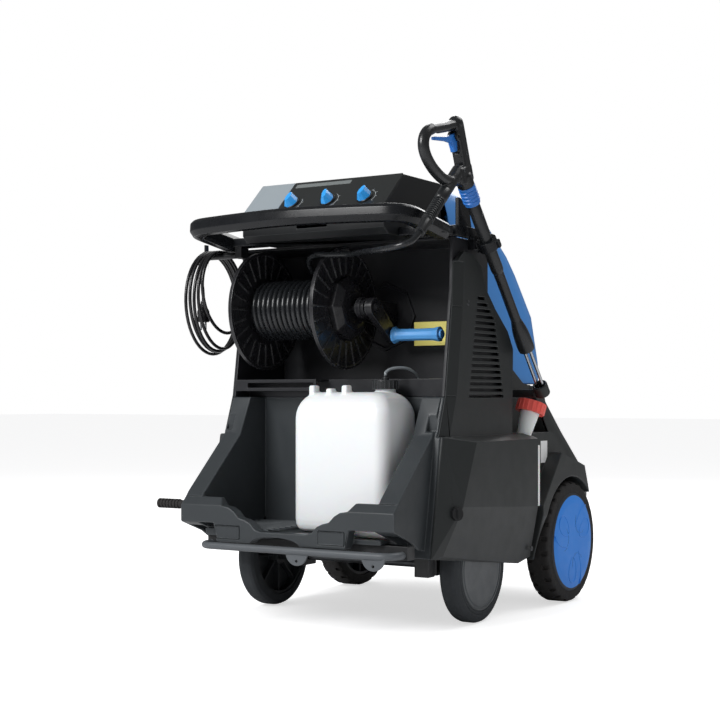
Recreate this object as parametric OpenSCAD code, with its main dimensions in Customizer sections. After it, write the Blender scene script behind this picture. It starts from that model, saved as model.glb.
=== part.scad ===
/* [Wheels and axles] */
// Position of the front axle, with the operator's side negative
front_axle_y = -165; // [-175:1:-155]
// Distance between the front and the rear axle
wheelbase = 424; // [410:1:434]
// Diameter of the front wheels
front_wheel_d = 250; // [240:1:256]
// Width of the front tyres
front_wheel_w = 48; // [40:1:50]
// Diameter of the rear wheels
rear_wheel_d = 300; // [280:1:304]
// Width of the rear tyres
rear_wheel_w = 60; // [50:1:62]
// Half the width over the front wheels
front_track = 300; // [296:1:304]
// Half the width over the rear wheels
rear_track = 336; // [330:1:340]
// Diameter of both axles
axle_d = 20; // [16:1:22]
// Lugs round one shoulder of a rear tyre
lugs = 26; // [20:2:30]

/* [Frame] */
// Side of the square frame tubes
rail = 30; // [24:1:32]
// Distance from the middle to the centre of a long rail
rail_x = 185; // [170:1:195]
// Diameter of the bumper tube
bumper_d = 16; // [12:1:18]
// Distance between the holes in the bumper's two tabs
tab_pitch = 192; // [180:1:205]
// Diameter of the hole in a tab
tab_hole_d = 6.5; // [5:0.5:9]

/* [Tray and recess] */
// Thickness of the tray's front wall
rim_t = 28; // [20:1:32]
// Height of the tray's front rim at its sides
rim_z = 287; // [278:1:292]
// Height of the rim in the middle of its dip
dip_z = 217; // [214:1:230]
// Thickness of a moulded wall
wall = 5; // [3.5:0.5:6]
// Height of the tray's ribbed step
step_z = 216; // [208:1:220]
// Slots in one side cover
slots = 17; // [12:1:17]
// Height of one slot
slot_h = 7; // [5:0.5:8]

/* [Console and handle] */
// Width of the control console
console_w = 380; // [360:2:380]
// Distance between two control knobs
knob_pitch = 97; // [85:0.5:98]
// Diameter of a control knob's base
knob_d = 38; // [28:1:40]
// Height of a control knob's wing
knob_h = 22; // [16:1:26]
// Width of the handle's section
handle_w = 42; // [32:1:43]
// Height of the handle's section
handle_h = 38; // [26:1:38]

/* [Hose reel] */
// Diameter of the reel's flanges
flange_d = 282; // [270:2:284]
// Distance between the inner faces of the flanges
reel_w = 223; // [219:1:225]
// Ribs on one side of a flange
flange_ribs = 24; // [16:2:30]
// Outside diameter of the spray hose
hose_d = 13; // [11:0.5:13]
// Turns of hose in the outer layer
hose_turns = 15; // [10:1:15]
// Diameter of the reel's shaft
shaft_d = 20; // [14:1:24]
// Distance from the reel's axis to the crank grip's axis
crank_r = 100; // [85:1:104]
// Length of the crank grip
grip_len = 120; // [90:1:124]

/* [Gun and lance] */
// Distance of the lance from the machine's middle
lance_x = 325; // [324:1:330]
// Diameter of the lance's grip tube
lance_d = 29; // [22:1:30]
// Length of the blue collar
collar_len = 48; // [36:1:52]
// Diameter of one lance pipe
pipe_d = 8; // [6:0.5:9]

/* [Containers] */
// Width of the canister
canister_w = 244; // [210:1:245]
// Depth of the canister
canister_d = 156; // [130:1:158]
// Height of the canister without its neck
canister_h = 317; // [280:1:319]
// Diameter of the canister's cap
canister_cap_d = 57; // [48:1:62]
// Diameter of the red cap
red_cap_d = 70; // [60:1:72]

/* [Cable] */
// Diameter of the mains cable
cable_d = 7.8; // [7:0.2:8]
// Loops of mains cable on the hook
cable_loops = 5; // [3:1:5]

/* [Hidden] */
$fn = 64;

black = "#1c1d1e";
dark = "#3a3e3f";
grey = "#5b5f61";
light_grey = "#a3adb1";
blue = "#2f7fd6";
steel = "#b9bdc0";
white = "#eef1f3";
red = "#d8362f";

// Running clearance of a turning piece and air between touching covers
running = 0.05;
air = 0.3;
rear_axle_y = front_axle_y + wheelbase;
front_axle_z = front_wheel_d / 2;
rear_axle_z = rear_wheel_d / 2;
frame_top = 200;
frame_low = frame_top - rail;
floor_t = 3;
body_x = 295;
seam_z = 512;
recess_x = 287;
recess_top = 866;
recess_back = -115;

module yz(x0, w) translate([x0, 0, 0]) rotate([90, 0, 90]) linear_extrude(w) children();
module xz(y0, w) translate([0, y0 + w, 0]) rotate([90, 0, 0]) linear_extrude(w) children();
module rod_x(r, x0, x1, y, z) translate([x0, y, z]) rotate([0, 90, 0]) cylinder(r = r, h = x1 - x0);
module rod_y(r, y0, y1, x, z) translate([x, y1, z]) rotate([90, 0, 0]) cylinder(r = r, h = y1 - y0);
module box(lo, hi) translate(lo) cube(hi - lo);
module both_sides() {
    children();
    mirror([1, 0, 0]) children();
}
module hull_of(points) hull() polyhedron(points, [[for (i = [0:len(points) - 1]) i]]);
// Rounded rectangle with corner radius r
module rounded(w, h, r) {
    square([w - 2 * r, h], center = true);
    square([w, h - 2 * r], center = true);
    for (x = [-1, 1], y = [-1, 1]) translate([x * (w / 2 - r), y * (h / 2 - r)]) circle(r);
}

// ---------- Swept tubes ----------
function unit(v) = v / norm(v);
function lerp(a, b, t) = a + (b - a) * t;
// Point of the smooth curve between b and c, with a and d beside them
function curve_at(a, b, c, d, t) =
    0.5 * (2 * b + (c - a) * t + (2 * a - 5 * b + 4 * c - d) * t * t
           + (3 * b - a - 3 * c + d) * t * t * t);
// Smooth route through the points, with the given number of steps between two of them
function route(p, steps) = [
    for (i = [0:len(p) - 2], k = [0:steps - 1])
        curve_at(p[max(i - 1, 0)], p[i], p[i + 1], p[min(i + 2, len(p) - 1)], k / steps),
    p[len(p) - 1]
];
function tangent(p, i) = unit(p[min(i + 1, len(p) - 1)] - p[max(i - 1, 0)]);
function square_to(t, n) = unit(n - (n * t) * t);
// Normals carried along the route without twist
function normals(p, seed) = [
    for (i = 0, n = square_to(tangent(p, 0), seed); i < len(p);
         i = i + 1, n = i < len(p) ? square_to(tangent(p, i), n) : n) n
];
// Closed skin over rings of equally many points
module skin(rings) {
    n = len(rings[0]);
    last = len(rings) - 1;
    polyhedron(
        points = [for (r = rings) each r],
        faces = concat(
            [[for (k = [0:n - 1]) k]],
            [for (i = [0:last - 1], k = [0:n - 1])
                let (a = i * n + k, b = i * n + (k + 1) % n)
                    each [[a, a + n, b], [b, a + n, b + n]]],
            [[for (k = [n - 1:-1:0]) last * n + k]]
        )
    );
}
// Tube of radius r along the route p, flattened by the ratio flat
module tube(p, r, sides, seed = [0, 0, 1], flat = 1) {
    n = normals(p, seed);
    skin([
        for (i = [0:len(p) - 1])
            let (b = cross(tangent(p, i), n[i]))
                [for (k = [0:sides - 1])
                    let (a = 360 * (k + 0.5) / sides) p[i] + r * (cos(a) * flat * n[i] + sin(a) * b)]
    ]);
}
// Least distance between stretches of a route that lie at least skip points apart
function least_gap(p, skip, d) =
    min([for (i = [0:len(p) - 1 - skip], j = [i + skip:len(p) - 1]) norm(p[i] - p[j])]) - d;

// ---------- Chassis ----------
bumper_left = -222;
bumper_right = 278;
bumper_y = -532;
bumper_z = 181;
tab_z = 160;
tab_x = 43;
cross_y = [-485, -130, 110, 440];
arm_in = 232;
arm_out = 280;
post_in = arm_in + 12;
post_z = 165;
out_x = post_in - air;
tank_z = 235;

module chassis_frame() {
    color(black) difference() {
        union() {
            both_sides() {
                box([rail_x - rail / 2, -485, frame_low], [rail_x + rail / 2, 470, frame_top]);
                for (y = [front_axle_y - 30, rear_axle_y - 30])
                    box([rail_x - rail / 2, y, min(front_axle_z, rear_axle_z) - 22],
                        [rail_x + rail / 2, y + 60, frame_low]);
            }
            for (y = cross_y) box([-rail_x, y, frame_low], [rail_x, y + rail, frame_top]);
            box([bumper_left - 12, -485, frame_low], [bumper_right + 12, -485 + rail, frame_top]);
            // Outrigger between the front posts, with the foot block on the right
            box([-out_x, -340, frame_low - 16], [out_x, -320, frame_low + 8]);
            box([226, -346, 118], [262, -316, post_z - air]);
            // Shelf under the side tank
            box([rail_x + rail / 2 - 6, -25, frame_top], [rail_x + rail / 2, 98, tank_z]);
            box([rail_x + rail / 2, -25, tank_z - 6], [292, 98, tank_z]);
            for (y = [cross_y[2], cross_y[3]]) box([-257, y, frame_low], [257, y + rail, frame_top]);
            box([-200, -115, frame_top], [200, 470, frame_top + floor_t]);
        }
        rod_x(axle_d / 2, -300, 300, front_axle_y, front_axle_z);
        rod_x(axle_d / 2, -300, 300, rear_axle_y, rear_axle_z);
    }
}

// Bent tube in front of the tray, with two holed tabs
module front_bumper() {
    bend = 34;
    r = bumper_d / 2;
    color(grey) {
        rod_x(r, bumper_left + bend, bumper_right - bend, bumper_y, bumper_z);
        translate([bumper_right - bend, bumper_y + bend, bumper_z])
            rotate([0, 0, -90]) rotate_extrude(angle = 90) translate([bend, 0]) circle(r);
        translate([bumper_left + bend, bumper_y + bend, bumper_z])
            rotate([0, 0, 180]) rotate_extrude(angle = 90) translate([bend, 0]) circle(r);
        for (x = [bumper_left, bumper_right]) rod_y(r, bumper_y + bend, -485, x, bumper_z);
        for (x = [tab_x, tab_x + tab_pitch]) xz(bumper_y - 2.5, 5) difference() {
            intersection() {
                translate([x, bumper_z - 3]) circle(28);
                translate([x - 28, bumper_z - 32]) square([56, 30]);
            }
            translate([x, tab_z]) circle(tab_hole_d / 2);
        }
    }
}

module axles() {
    color(dark) {
        rod_x(axle_d / 2, -front_track + 8, front_track - 8, front_axle_y, front_axle_z);
        rod_x(axle_d / 2, -rear_track + 14, rear_track - 14, rear_axle_y, rear_axle_z);
        // Spacer tubes between the frame and the wheels
        both_sides() {
            rod_x(14, rail_x + rail / 2, front_track - front_wheel_w + 1.9, front_axle_y, front_axle_z);
            rod_x(14, rail_x + rail / 2, rear_track - rear_wheel_w + 3.9, rear_axle_y, rear_axle_z);
        }
    }
}

// ---------- Wheels: outer face at z = 0, axle along z ----------
module at_wheel(side, track, y, z) translate([side * track, y, z]) rotate([0, side * 90, 0]) children();
function tread(r_in, r_out, w, c) = [
    [r_in, -w], [r_out - c, -w], [r_out - c * 0.3, -w + c * 0.3], [r_out, -w + c],
    [r_out, -c], [r_out - c * 0.3, -c * 0.3], [r_out - c, 0], [r_in, 0]
];
front_seat = 98;
rear_seat = 122;

module front_tyre(side) {
    color(grey) at_wheel(side, front_track, front_axle_y, front_axle_z)
        rotate_extrude($fn = 96) polygon(tread(front_seat, front_wheel_d / 2, front_wheel_w, 9));
}
module front_rim(side) {
    bore = axle_d / 2 + running;
    w = front_wheel_w;
    color(dark) at_wheel(side, front_track, front_axle_y, front_axle_z) {
        rotate_extrude($fn = 96) polygon([
            [bore, -w + 2], [24, -w + 2], [24, -24], [front_seat - 7, -24], [front_seat - 7, -w + 3],
            [front_seat, -w + 3], [front_seat, -1], [front_seat - 6, -1], [60, -2], [0, -2], [0, -7],
            [bore, -7]
        ]);
        for (k = [0:7]) rotate([0, 0, 45 * k]) translate([22, -2.5, -w + 9]) cube([front_seat - 27, 5, 18]);
    }
}
module rear_tyre(side) {
    r = rear_wheel_d / 2;
    w = rear_wheel_w;
    color(black) at_wheel(side, rear_track, rear_axle_y, rear_axle_z) difference() {
        rotate_extrude($fn = 96) polygon(tread(rear_seat, r, w, 10));
        for (k = [0:lugs - 1]) {
            rotate([0, 0, 360 * k / lugs]) translate([r - 6, -6, -w * 0.3]) cube([20, 12, w]);
            rotate([0, 0, 360 * (k + 0.5) / lugs]) translate([r - 6, -6, -w * 1.7]) cube([20, 12, w]);
        }
    }
}
// Rim with its domed disc and three shallow raised loops
module rear_rim(side) {
    bore = axle_d / 2 + running;
    w = rear_wheel_w;
    color(blue) at_wheel(side, rear_track, rear_axle_y, rear_axle_z) {
        rotate_extrude($fn = 96) polygon([
            [bore, -w + 4], [26, -w + 4], [26, -26], [rear_seat - 8, -26], [rear_seat - 8, -w + 4],
            [rear_seat, -w + 4], [rear_seat, 0], [rear_seat - 5, 3], [60, 5], [0, 5], [0, -10], [bore, -10]
        ]);
        for (k = [0:9]) rotate([0, 0, 36 * k]) translate([24, -2.5, -w + 12]) cube([rear_seat - 30, 5, 24]);
        for (k = [0:2]) rotate([0, 0, 120 * k + 20]) translate([64, 0, 2]) difference() {
            cylinder(r = 32, h = 4.4);
            translate([0, 0, -1]) cylinder(r = 29.5, h = 7);
        }
    }
}

// ---------- Front moulding ----------
tray_front = -525;
tray_back = -263;
bevel = 17;
tray_floor = 210;
// Half of the front rim's upper outline, from the middle of its dip outwards
rim_half = [[60, dip_z], [74, dip_z + 4], [88, dip_z + 18], [102, dip_z + 24], [118, dip_z + 28],
            [132, rim_z - bevel - 11], [146, rim_z - bevel - 3], [165, rim_z - bevel], [176, rim_z]];
function flipped(p) = [for (k = [len(p) - 1:-1:0]) [-p[k][0], p[k][1]]];

module tray_front_wall() {
    xz(tray_front, rim_t) difference() {
        polygon(concat(rim_half, [
            [arm_out, rim_z], [arm_out, 231], [170, 231], [161, 190],
            [-178, 190], [-188, 231], [-arm_out, 231], [-arm_out, rim_z]], flipped(rim_half)));
        translate([-22, 189]) scale([1, 0.26]) circle(r = 64, $fn = 32);
    }
}
module front_tray() {
    arm = [[-323, seam_z], [-364, 425], [-500, rim_z + 10], [tray_front + bevel, rim_z],
           [tray_front, rim_z - bevel], [tray_front, 231], [-450, 204], [-420, 186], [-305, 178],
           [tray_back, 228], [tray_back, seam_z]];
    post = [[-400, post_z], [-355, 420], [-320, seam_z], [-258, seam_z], [-258, 232], [-300, 178],
            [-305, post_z]];
    color(dark) difference() {
        union() {
            tray_front_wall();
            both_sides() {
                difference() {
                    yz(arm_in, arm_out - arm_in) polygon(arm);
                    box([arm_in + wall, tray_front + rim_t, 170], [arm_out - wall, -395, 226]);
                }
                yz(post_in, body_x - post_in) polygon(post);
            }
            box([-arm_in, tray_front + rim_t, frame_top], [arm_in, tray_back, tray_floor]);
            box([-arm_in, tray_front + rim_t, frame_top], [-60, tray_back, step_z]);
            for (k = [0:9]) box([-arm_in, -488 + 23 * k, frame_top], [-66, -481 + 23 * k, step_z + 4]);
            box([-arm_in - 1, tray_back, frame_top], [arm_in + 1, tray_back + wall, seam_z]);
        }
        both_sides() {
            // Slanted front edge of the rim's high part
            yz(165, arm_out - 164) polygon([[tray_front - 1, rim_z - bevel - 1], [tray_front - 1, rim_z + 1],
                                            [tray_front + bevel + 1, rim_z + 1]]);
            // Seat of the side cover and shallow panel on the post
            yz(recess_x - air, 20)
                polygon([[-353.5, 424.7], [-320, seam_z + 1], [-250, seam_z + 1], [-250, 424.7]]);
            box([262, -420, 436], [284, -341, 488]);
        }
        // Shallow panels on the front wall
        for (x = [-182, 92]) box([x, tray_front - 1, 198], [x + 66, tray_front + 1.5, 226]);
    }
}

// ---------- Recess round the reel ----------
recess_front = [[-320, 512], [-291, 713], [-285, 750], [-280, 866]];
hose_hole = [172, -228];

module reel_recess() {
    w = recess_x - 8;
    color(dark) difference() {
        union() {
            both_sides() yz(w, 8) polygon(concat(recess_front, [
                [recess_back + 6, recess_top], [recess_back + 6, 735], [-45, 655], [-15, 610], [-15, 512]]));
            box([-w, recess_back, seam_z], [w, recess_back + 6, recess_top]);
            box([-w, -280, recess_top - 6], [w, recess_back, recess_top]);
            // Shelf: long over the tray's ribbed step, short over the canister
            box([-w, -318, 548], [-50, recess_back, 553]);
            box([-w, -318, 526], [-50, -313, 553]);
            box([-50, tray_back, 548], [w, recess_back, 553]);
            box([-w, tray_back, seam_z], [w, tray_back + wall, 550]);
            // Eight-sided frame on the back wall
            xz(recess_back - 6, 6) difference() {
                translate([18, 704]) circle(r = 82, $fn = 8);
                translate([18, 704]) circle(r = 74, $fn = 8);
            }
            box([96, recess_back - 3, 632], [186, recess_back, 690]);
        }
        box([-245, -319, 534], [-58, -312, 545]);
        translate([hose_hole[0], hose_hole[1], 540]) cylinder(r = 4.3, h = 20);
    }
}

// ---------- Side covers ----------
cover_front = [[-350, 425], [-318, 515], [-289, 713], [-284, 810]];
cover_top = [[-250, 835], [-205, 830], [-165, 808], [-145, 760], [-95, 714], [-30, 665], [-2, 625],
             [-7, 425]];
strip_w = 34;
skirt = [[300, -352, 425], [330, -248, 412], [330, 73, 412], [300, 73, 425],
         [300, -400, 165], [308, -365, 169], [330, -313, 274], [330, 73, 250], [308, 73, 128], [308, 8, 118]];
latch_at = [322.5, -332.6, 259.1];
latch_tilt = [0, 85.7, -24.15];

module side_cover(notch) {
    last = len(cover_front) - 1;
    color(dark) difference() {
        union() {
            yz(recess_x, 13) polygon(concat(cover_front, cover_top));
            difference() {
                hull_of([for (p = skirt) each [p, [body_x, p[1], p[2]]]]);
                hull_of([for (p = skirt) each [
                    [p[0] - wall, lerp(p[1], -150, 0.028), lerp(p[2], 280, 0.035)],
                    [body_x - 1, lerp(p[1], -150, 0.028), lerp(p[2], 280, 0.035)]]]);
            }
        }
        // Hollow behind the upper plate
        yz(recess_x - 1, 9) polygon([
            for (p = cover_front) [p[0] + strip_w + 4, p[1] + (p[1] < 500 ? -6 : 0)],
            [-243, 824], [-208, 820], [-172, 800], [-153, 755], [-101, 705], [-38, 658], [-11, 622],
            [-16, 415]]);
        // Slanted strip along the front edge
        for (i = [0:last - 1])
            let (a = cover_front[i], b = cover_front[i + 1])
                hull_of([for (p = [[a[0], a[1] - 1], [b[0], b[1] + 1]])
                    each [[301, p[0] + strip_w, p[1]], [301, p[0] - 4, p[1]], [288, p[0] - 4, p[1]]]]);
        // Air slots that follow the cover's outline
        for (i = [0:slots - 1]) {
            z = 514 + 221 * i / (slots - 1);
            back = z < 689 ? lerp(-54, -99, (z - 514) / 175) : lerp(-99, -150, (z - 689) / 46);
            front = lerp(-227, -185, (z - 514) / 221);
            box([recess_x - 1, front, z - slot_h / 2], [302, back, z + slot_h / 2]);
        }
        translate(latch_at) rotate(latch_tilt) cylinder(r = 4 + running, h = 40, center = true);
        // Room for the front wheel and for the side tank's neck
        rod_x(front_wheel_d / 2 + 8, 240, front_track + 2.5, front_axle_y, front_axle_z);
        if (notch) at_neck() {
            cylinder(r = 24, h = 60);
            translate([0, 0, -32]) cylinder(r = 15, h = 40);
        }
    }
}
module latch() {
    color(black) translate(latch_at) rotate(latch_tilt) {
        translate([0, 0, air]) cylinder(r = 15, h = 7);
        translate([-11, -2.5, air]) cube([22, 5, 11]);
        translate([0, 0, -13]) cylinder(r = 4, h = 14);
        translate([-5, -11, -13]) cube([10, 22, 3]);
    }
}

// ---------- Rear body and hood: rings bent round the back of the machine ----------
// Points of one ring: half width w, corner radius r, back y1, front y0
function bow(w, r, y1, y0) = concat(
    [[w, y0]],
    [for (a = [0:15:90]) [w - r + r * cos(a), y1 - r + r * sin(a)]],
    [for (a = [90:15:180]) [r - w + r * cos(a), y1 - r + r * sin(a)]],
    [[-w, y0]]
);
function lift(p, z) = [for (q = p) [q[0], q[1], z]];
// Closed ring of a wall of thickness t, outside first
function bow_wall(l, t) =
    let (a = lift(bow(l[1], l[2], l[3], l[4]), l[0]), b = lift(bow(l[1] - t, l[2] - t, l[3] - t, l[4]), l[0]))
        [a, b];
// Wall through all the levels, each [z, half width, corner radius, back, front]
module bow_shell(levels, t) {
    n = len(bow(1, 1, 1, 1));
    pairs = [for (l = levels) bow_wall(l, t)];
    last = len(levels) - 1;
    function at(i, s, k) = (i * 2 + s) * n + k;
    polyhedron(
        points = [for (q = pairs) each concat(q[0], q[1])],
        faces = concat(
            [for (i = [0:last - 1], k = [0:n - 2]) each [
                [at(i, 0, k), at(i + 1, 0, k), at(i, 0, k + 1)],
                [at(i, 0, k + 1), at(i + 1, 0, k), at(i + 1, 0, k + 1)],
                [at(i, 1, k), at(i, 1, k + 1), at(i + 1, 1, k)],
                [at(i, 1, k + 1), at(i + 1, 1, k + 1), at(i + 1, 1, k)]]],
            [for (i = [0:last - 1]) each [
                [at(i, 0, 0), at(i, 1, 0), at(i + 1, 0, 0)],
                [at(i, 1, 0), at(i + 1, 1, 0), at(i + 1, 0, 0)],
                [at(i, 0, n - 1), at(i + 1, 0, n - 1), at(i, 1, n - 1)],
                [at(i, 1, n - 1), at(i + 1, 0, n - 1), at(i + 1, 1, n - 1)]]],
            [for (k = [0:n - 2]) each [
                [at(0, 0, k), at(0, 0, k + 1), at(0, 1, k)],
                [at(0, 1, k), at(0, 0, k + 1), at(0, 1, k + 1)],
                [at(last, 0, k), at(last, 1, k), at(last, 0, k + 1)],
                [at(last, 1, k), at(last, 1, k + 1), at(last, 0, k + 1)]]]
        )
    );
}
module bow_solid(levels) skin([for (l = levels) lift(bow(l[1], l[2], l[3], l[4]), l[0])]);

rear_levels = [[190, 298, 110, 530, 90], [300, 300, 120, 540, 90], [425, 300, 200, 432, 90],
               [500, 270, 200, 405, 90], [540, 250, 165, 405, 90]];
hood_levels = [[545, 238, 160, 400, -88], [600, 238, 165, 400, -88], [716, 232, 175, 380, -88],
               [820, 220, 180, 313, -88], [864, 215, 180, 274, -88]];
crown_levels = [[864, 215, 180, 274, -105], [890, 210, 180, 245, -148], [930, 203, 172, 192, -148],
                [960, 195, 160, 145, -148], [985, 182, 142, 85, -148], [1002, 165, 120, 25, -148]];
hinge_y = 412;
hinge_z = 541;
pocket_y = 200;
arch_r = rear_wheel_d / 2 + 13;
arch_x = rear_track - rear_wheel_w - 14;
neck_at = [287, 68, 398];
neck_tilt = [-16, 9, 0];

module arch_cut(r, x0, x1) rod_x(r, x0, x1, rear_axle_y, rear_axle_z);
module rear_body() {
    color(dark) {
        difference() {
            union() {
                bow_shell(rear_levels, wall);
                both_sides() {
                    // Wheel housing inside the body
                    intersection() {
                        bow_solid(rear_levels);
                        difference() {
                            arch_cut(arch_r + 5, arch_x - 5, 320);
                            arch_cut(arch_r, arch_x, 330);
                        }
                    }
                    // Flared arch over the wheel
                    yz(290, 46) polygon([[90, 118], [90, 252], [200, 376], [344, 338], [372, 270], [372, 190],
                                         [259, 150], [103, 118]]);
                }
            }
            both_sides() {
                arch_cut(arch_r, arch_x, 340);
                // Opening of the side pocket
                box([250, 60, 425], [320, pocket_y, 560]);
                // Underside of the flare, rising outwards
                hull_of([[303, 60, 100], [345, 60, 100], [345, 60, 262], [303, 130, 100], [345, 130, 100],
                         [345, 130, 262]]);
            }
            at_neck() cylinder(r = 24, h = 60);
            // Room for the side tank and its shelf
            box([250, -61, tank_z - 6 - air], [body_x - 0.2, 102 + air, 400]);
        }
        // Side pockets: floor, rear wall and inner wall
        both_sides() {
            difference() {
                box([250, -7, 420], [body_x - air, pocket_y + wall, 425]);
                at_neck() cylinder(r = 24, h = 60);
            }
            xz(pocket_y, wall) polygon([[250, 420], [299, 420], [299, 425], [270, 500], [250, 540]]);
            yz(245, 5) polygon([[-20, 420], [-20, 620], [40, 612], [160, 546], [pocket_y + wall, 540],
                                [pocket_y + wall, 420]]);
        }
        // Socket for the lance's end
        difference() {
            union() {
                at_lance() translate([0, 0, -pipes_low - 6]) cylinder(r = 18, h = 31);
                box([248, 92, 511], [312, 120, 530]);
            }
            at_lance() translate([0, 0, -pipes_low]) cylinder(r = 13, h = 40);
        }
        // Hinge knuckles at the back
        for (x = [-60, 24]) {
            rod_x(7, x, x + 36, hinge_y, hinge_z);
            box([x, 398, 500], [x + 36, hinge_y, hinge_z - 3]);
        }
        rod_x(3, -60, 60, hinge_y, hinge_z);
    }
}
module hood() {
    color(blue) difference() {
        union() {
            bow_shell(hood_levels, 4);
            bow_shell(crown_levels, 4);
            translate([0, 0, 998]) linear_extrude(8) polygon(bow(163, 118, 22, -148));
            rod_x(7, -22, 22, hinge_y, hinge_z);
            box([-22, 397, hinge_z], [22, hinge_y, 575]);
        }
        rod_x(3 + running, -70, 70, hinge_y, hinge_z);
        translate([0, -50, 980]) cylinder(r = 50, h = 50);
        // Shallow line round the hood
        for (x = [-250, 237]) box([x, -60, 640], [x + 13, 200, 646]);
    }
}

// ---------- Console ----------
slope = 43.25;
slope_mid = [-370, 965.5];
knob_low = -26;
module on_slope(x) translate([x, slope_mid[0], slope_mid[1]]) rotate([slope, 0, 0]) children();
knobs_x = [-67, -67 + knob_pitch, -67 + 2 * knob_pitch];
module at_knob(x) on_slope(x) translate([0, knob_low, 0]) children();

module console_housing() {
    w = console_w / 2;
    color(dark) difference() {
        yz(-w, console_w)
            polygon([[-328, 1005], [-155, 1005], [-155, 866], [-395, 866], [-412, 880], [-412, 926]]);
        yz(-w + 4, console_w - 8) polygon([
            [-330, 1001], [-159, 1001], [-159, 860], [-276, 860], [-276, 870], [-394, 870], [-408, 882],
            [-408, 924]]);
        for (x = knobs_x) at_knob(x) cylinder(r = 4.6, h = 20, center = true);
        // Grip slot low on the front
        box([-40, -414, 890], [40, -406, 902]);
    }
}
module console_fascia() {
    color(black) difference() {
        on_slope(0) translate([-96, -56, 0.05]) cube([console_w / 2 + 96, 112, 4]);
        for (x = knobs_x) at_knob(x) cylinder(r = 4 + running, h = 20, center = true);
        // Shallow display strip
        on_slope(0) translate([-88, 34, 3]) cube([150, 14, 3]);
    }
}
module console_corner_panel() {
    color(light_grey) on_slope(0) translate([-console_w / 2, -56, 0.05]) cube([console_w / 2 - 97, 112, 4]);
}
module knob(i) {
    color(blue) at_knob(knobs_x[i]) {
        translate([0, 0, 4 + air]) cylinder(r = knob_d / 2, h = 6);
        translate([-5, -knob_d / 2 - 2, 4 + air]) cube([10, knob_d + 4, knob_h]);
        translate([0, 0, -8]) cylinder(r = 4, h = 14);
    }
}

// ---------- Handle and brackets ----------
function handle_z(y) = 875 + (-330 - y) * 0.15;
handle_half = [[280, -318], [280, -349], [280, -380], [280, -407], [280, -430], [278, -455], [270, -472],
               [256, -482], [236, -488], [200, -493], [150, -499], [100, -504], [50, -508]];
module push_handle() {
    half = [for (p = handle_half) [p[0], p[1], handle_z(p[1])]];
    path = concat(half, [[0, -510, handle_z(-510)]],
                  [for (k = [len(half) - 1:-1:0]) [-half[k][0], half[k][1], half[k][2]]]);
    color(dark) {
        tube(path, handle_w / 2, 12, [0, 0, 1], handle_h / handle_w);
        both_sides() box([console_w / 2, -352, 866], [300, -302, 886]);
    }
}
hook_y = -335;
hook_z = 847;
hook_r = 7;
module cable_hook() {
    color(black) {
        box([-258, -350, 840], [-240, -320, recess_top]);
        rod_x(hook_r, -354, -257, hook_y, hook_z);
        box([-356, -342, 841], [-353, -328, 877]);
    }
}

// ---------- Hose reel ----------
reel_y = -268;
reel_z = 717;
reel_right = -5;
reel_left = reel_right - reel_w;
core_r = 57;
coil_r = core_r + hose_d / 2 + 0.8;
crank_dir = [0.79, -0.61];
grip_y = reel_y + crank_r * crank_dir[0];
grip_z = reel_z + crank_r * crank_dir[1];
module on_reel(x) translate([x, reel_y, reel_z]) rotate([0, 90, 0]) children();

module reel_supports() {
    r = shaft_d / 2 + running;
    color(black) difference() {
        union() {
            // Arm from the back wall to the reel's right bearing
            yz(40, 10) {
                translate([reel_y, reel_z]) circle(24);
                polygon([[recess_back, 672], [recess_back, 736], [reel_y, reel_z + 22],
                         [reel_y, reel_z - 22]]);
            }
            rod_x(20, 36, 58, reel_y, reel_z);
            // Bracket on the left wall
            yz(8 - recess_x, 34) {
                translate([reel_y, reel_z]) circle(24);
                polygon([[recess_back, 690], [recess_back, 744], [reel_y, reel_z + 24],
                         [reel_y, reel_z - 24]]);
            }
        }
        rod_x(r, -300, 100, reel_y, reel_z);
    }
}
module reel_drum() {
    mid = reel_left + reel_w / 2;
    color(black) {
        on_reel(reel_left) difference() {
            cylinder(r = core_r, h = reel_w);
            translate([0, 0, -1]) cylinder(r = core_r - 5, h = reel_w + 2);
        }
        // Web and shaft
        rod_x(core_r - 4, mid - 4, mid + 4, reel_y, reel_z);
        rod_x(shaft_d / 2, 10 - recess_x, 84, reel_y, reel_z);
    }
}
module reel_flange(x, out) {
    r = flange_d / 2;
    bore = shaft_d / 2 + air;
    color(black) translate([x, reel_y, reel_z]) rotate([0, out * 90, 0]) {
        rotate_extrude($fn = 96) polygon([[bore, 0], [r - 8, 0], [r - 8, -3], [r, -3], [r, 6], [r - 6, 6],
                                          [r - 6, 5], [bore, 5]]);
        for (k = [0:flange_ribs - 1]) rotate([0, 0, 360 * k / flange_ribs]) {
            translate([80, -1.5, 4]) cube([r - 84, 3, 4]);
            translate([80, -1.5, -2.5]) cube([r - 86, 3, 3]);
        }
    }
}
module reel_hub_cover() {
    color(black) on_reel(reel_right + 5) rotate_extrude($fn = 16) polygon([
        [shaft_d / 2 + 0.5, 0], [76, 0], [76, 10], [62, 24], [40, 26], [36, 20], [shaft_d / 2 + 0.5, 20]]);
}
function coil_point(a) =
    let (x = reel_left + hose_d / 2 + 0.6 + (reel_w - hose_d - 1.2) * a / (360 * hose_turns))
        [x, reel_y + coil_r * cos(a + 30), reel_z + coil_r * sin(a + 30)];
coil_path = [for (k = [0:24 * hose_turns]) coil_point(15 * k)];
module hose_winding() {
    color(dark) tube(coil_path, hose_d / 2, 6, [0, 1, 0]);
}
echo(winding_gap = least_gap(coil_path, 12, hose_d));

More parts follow.
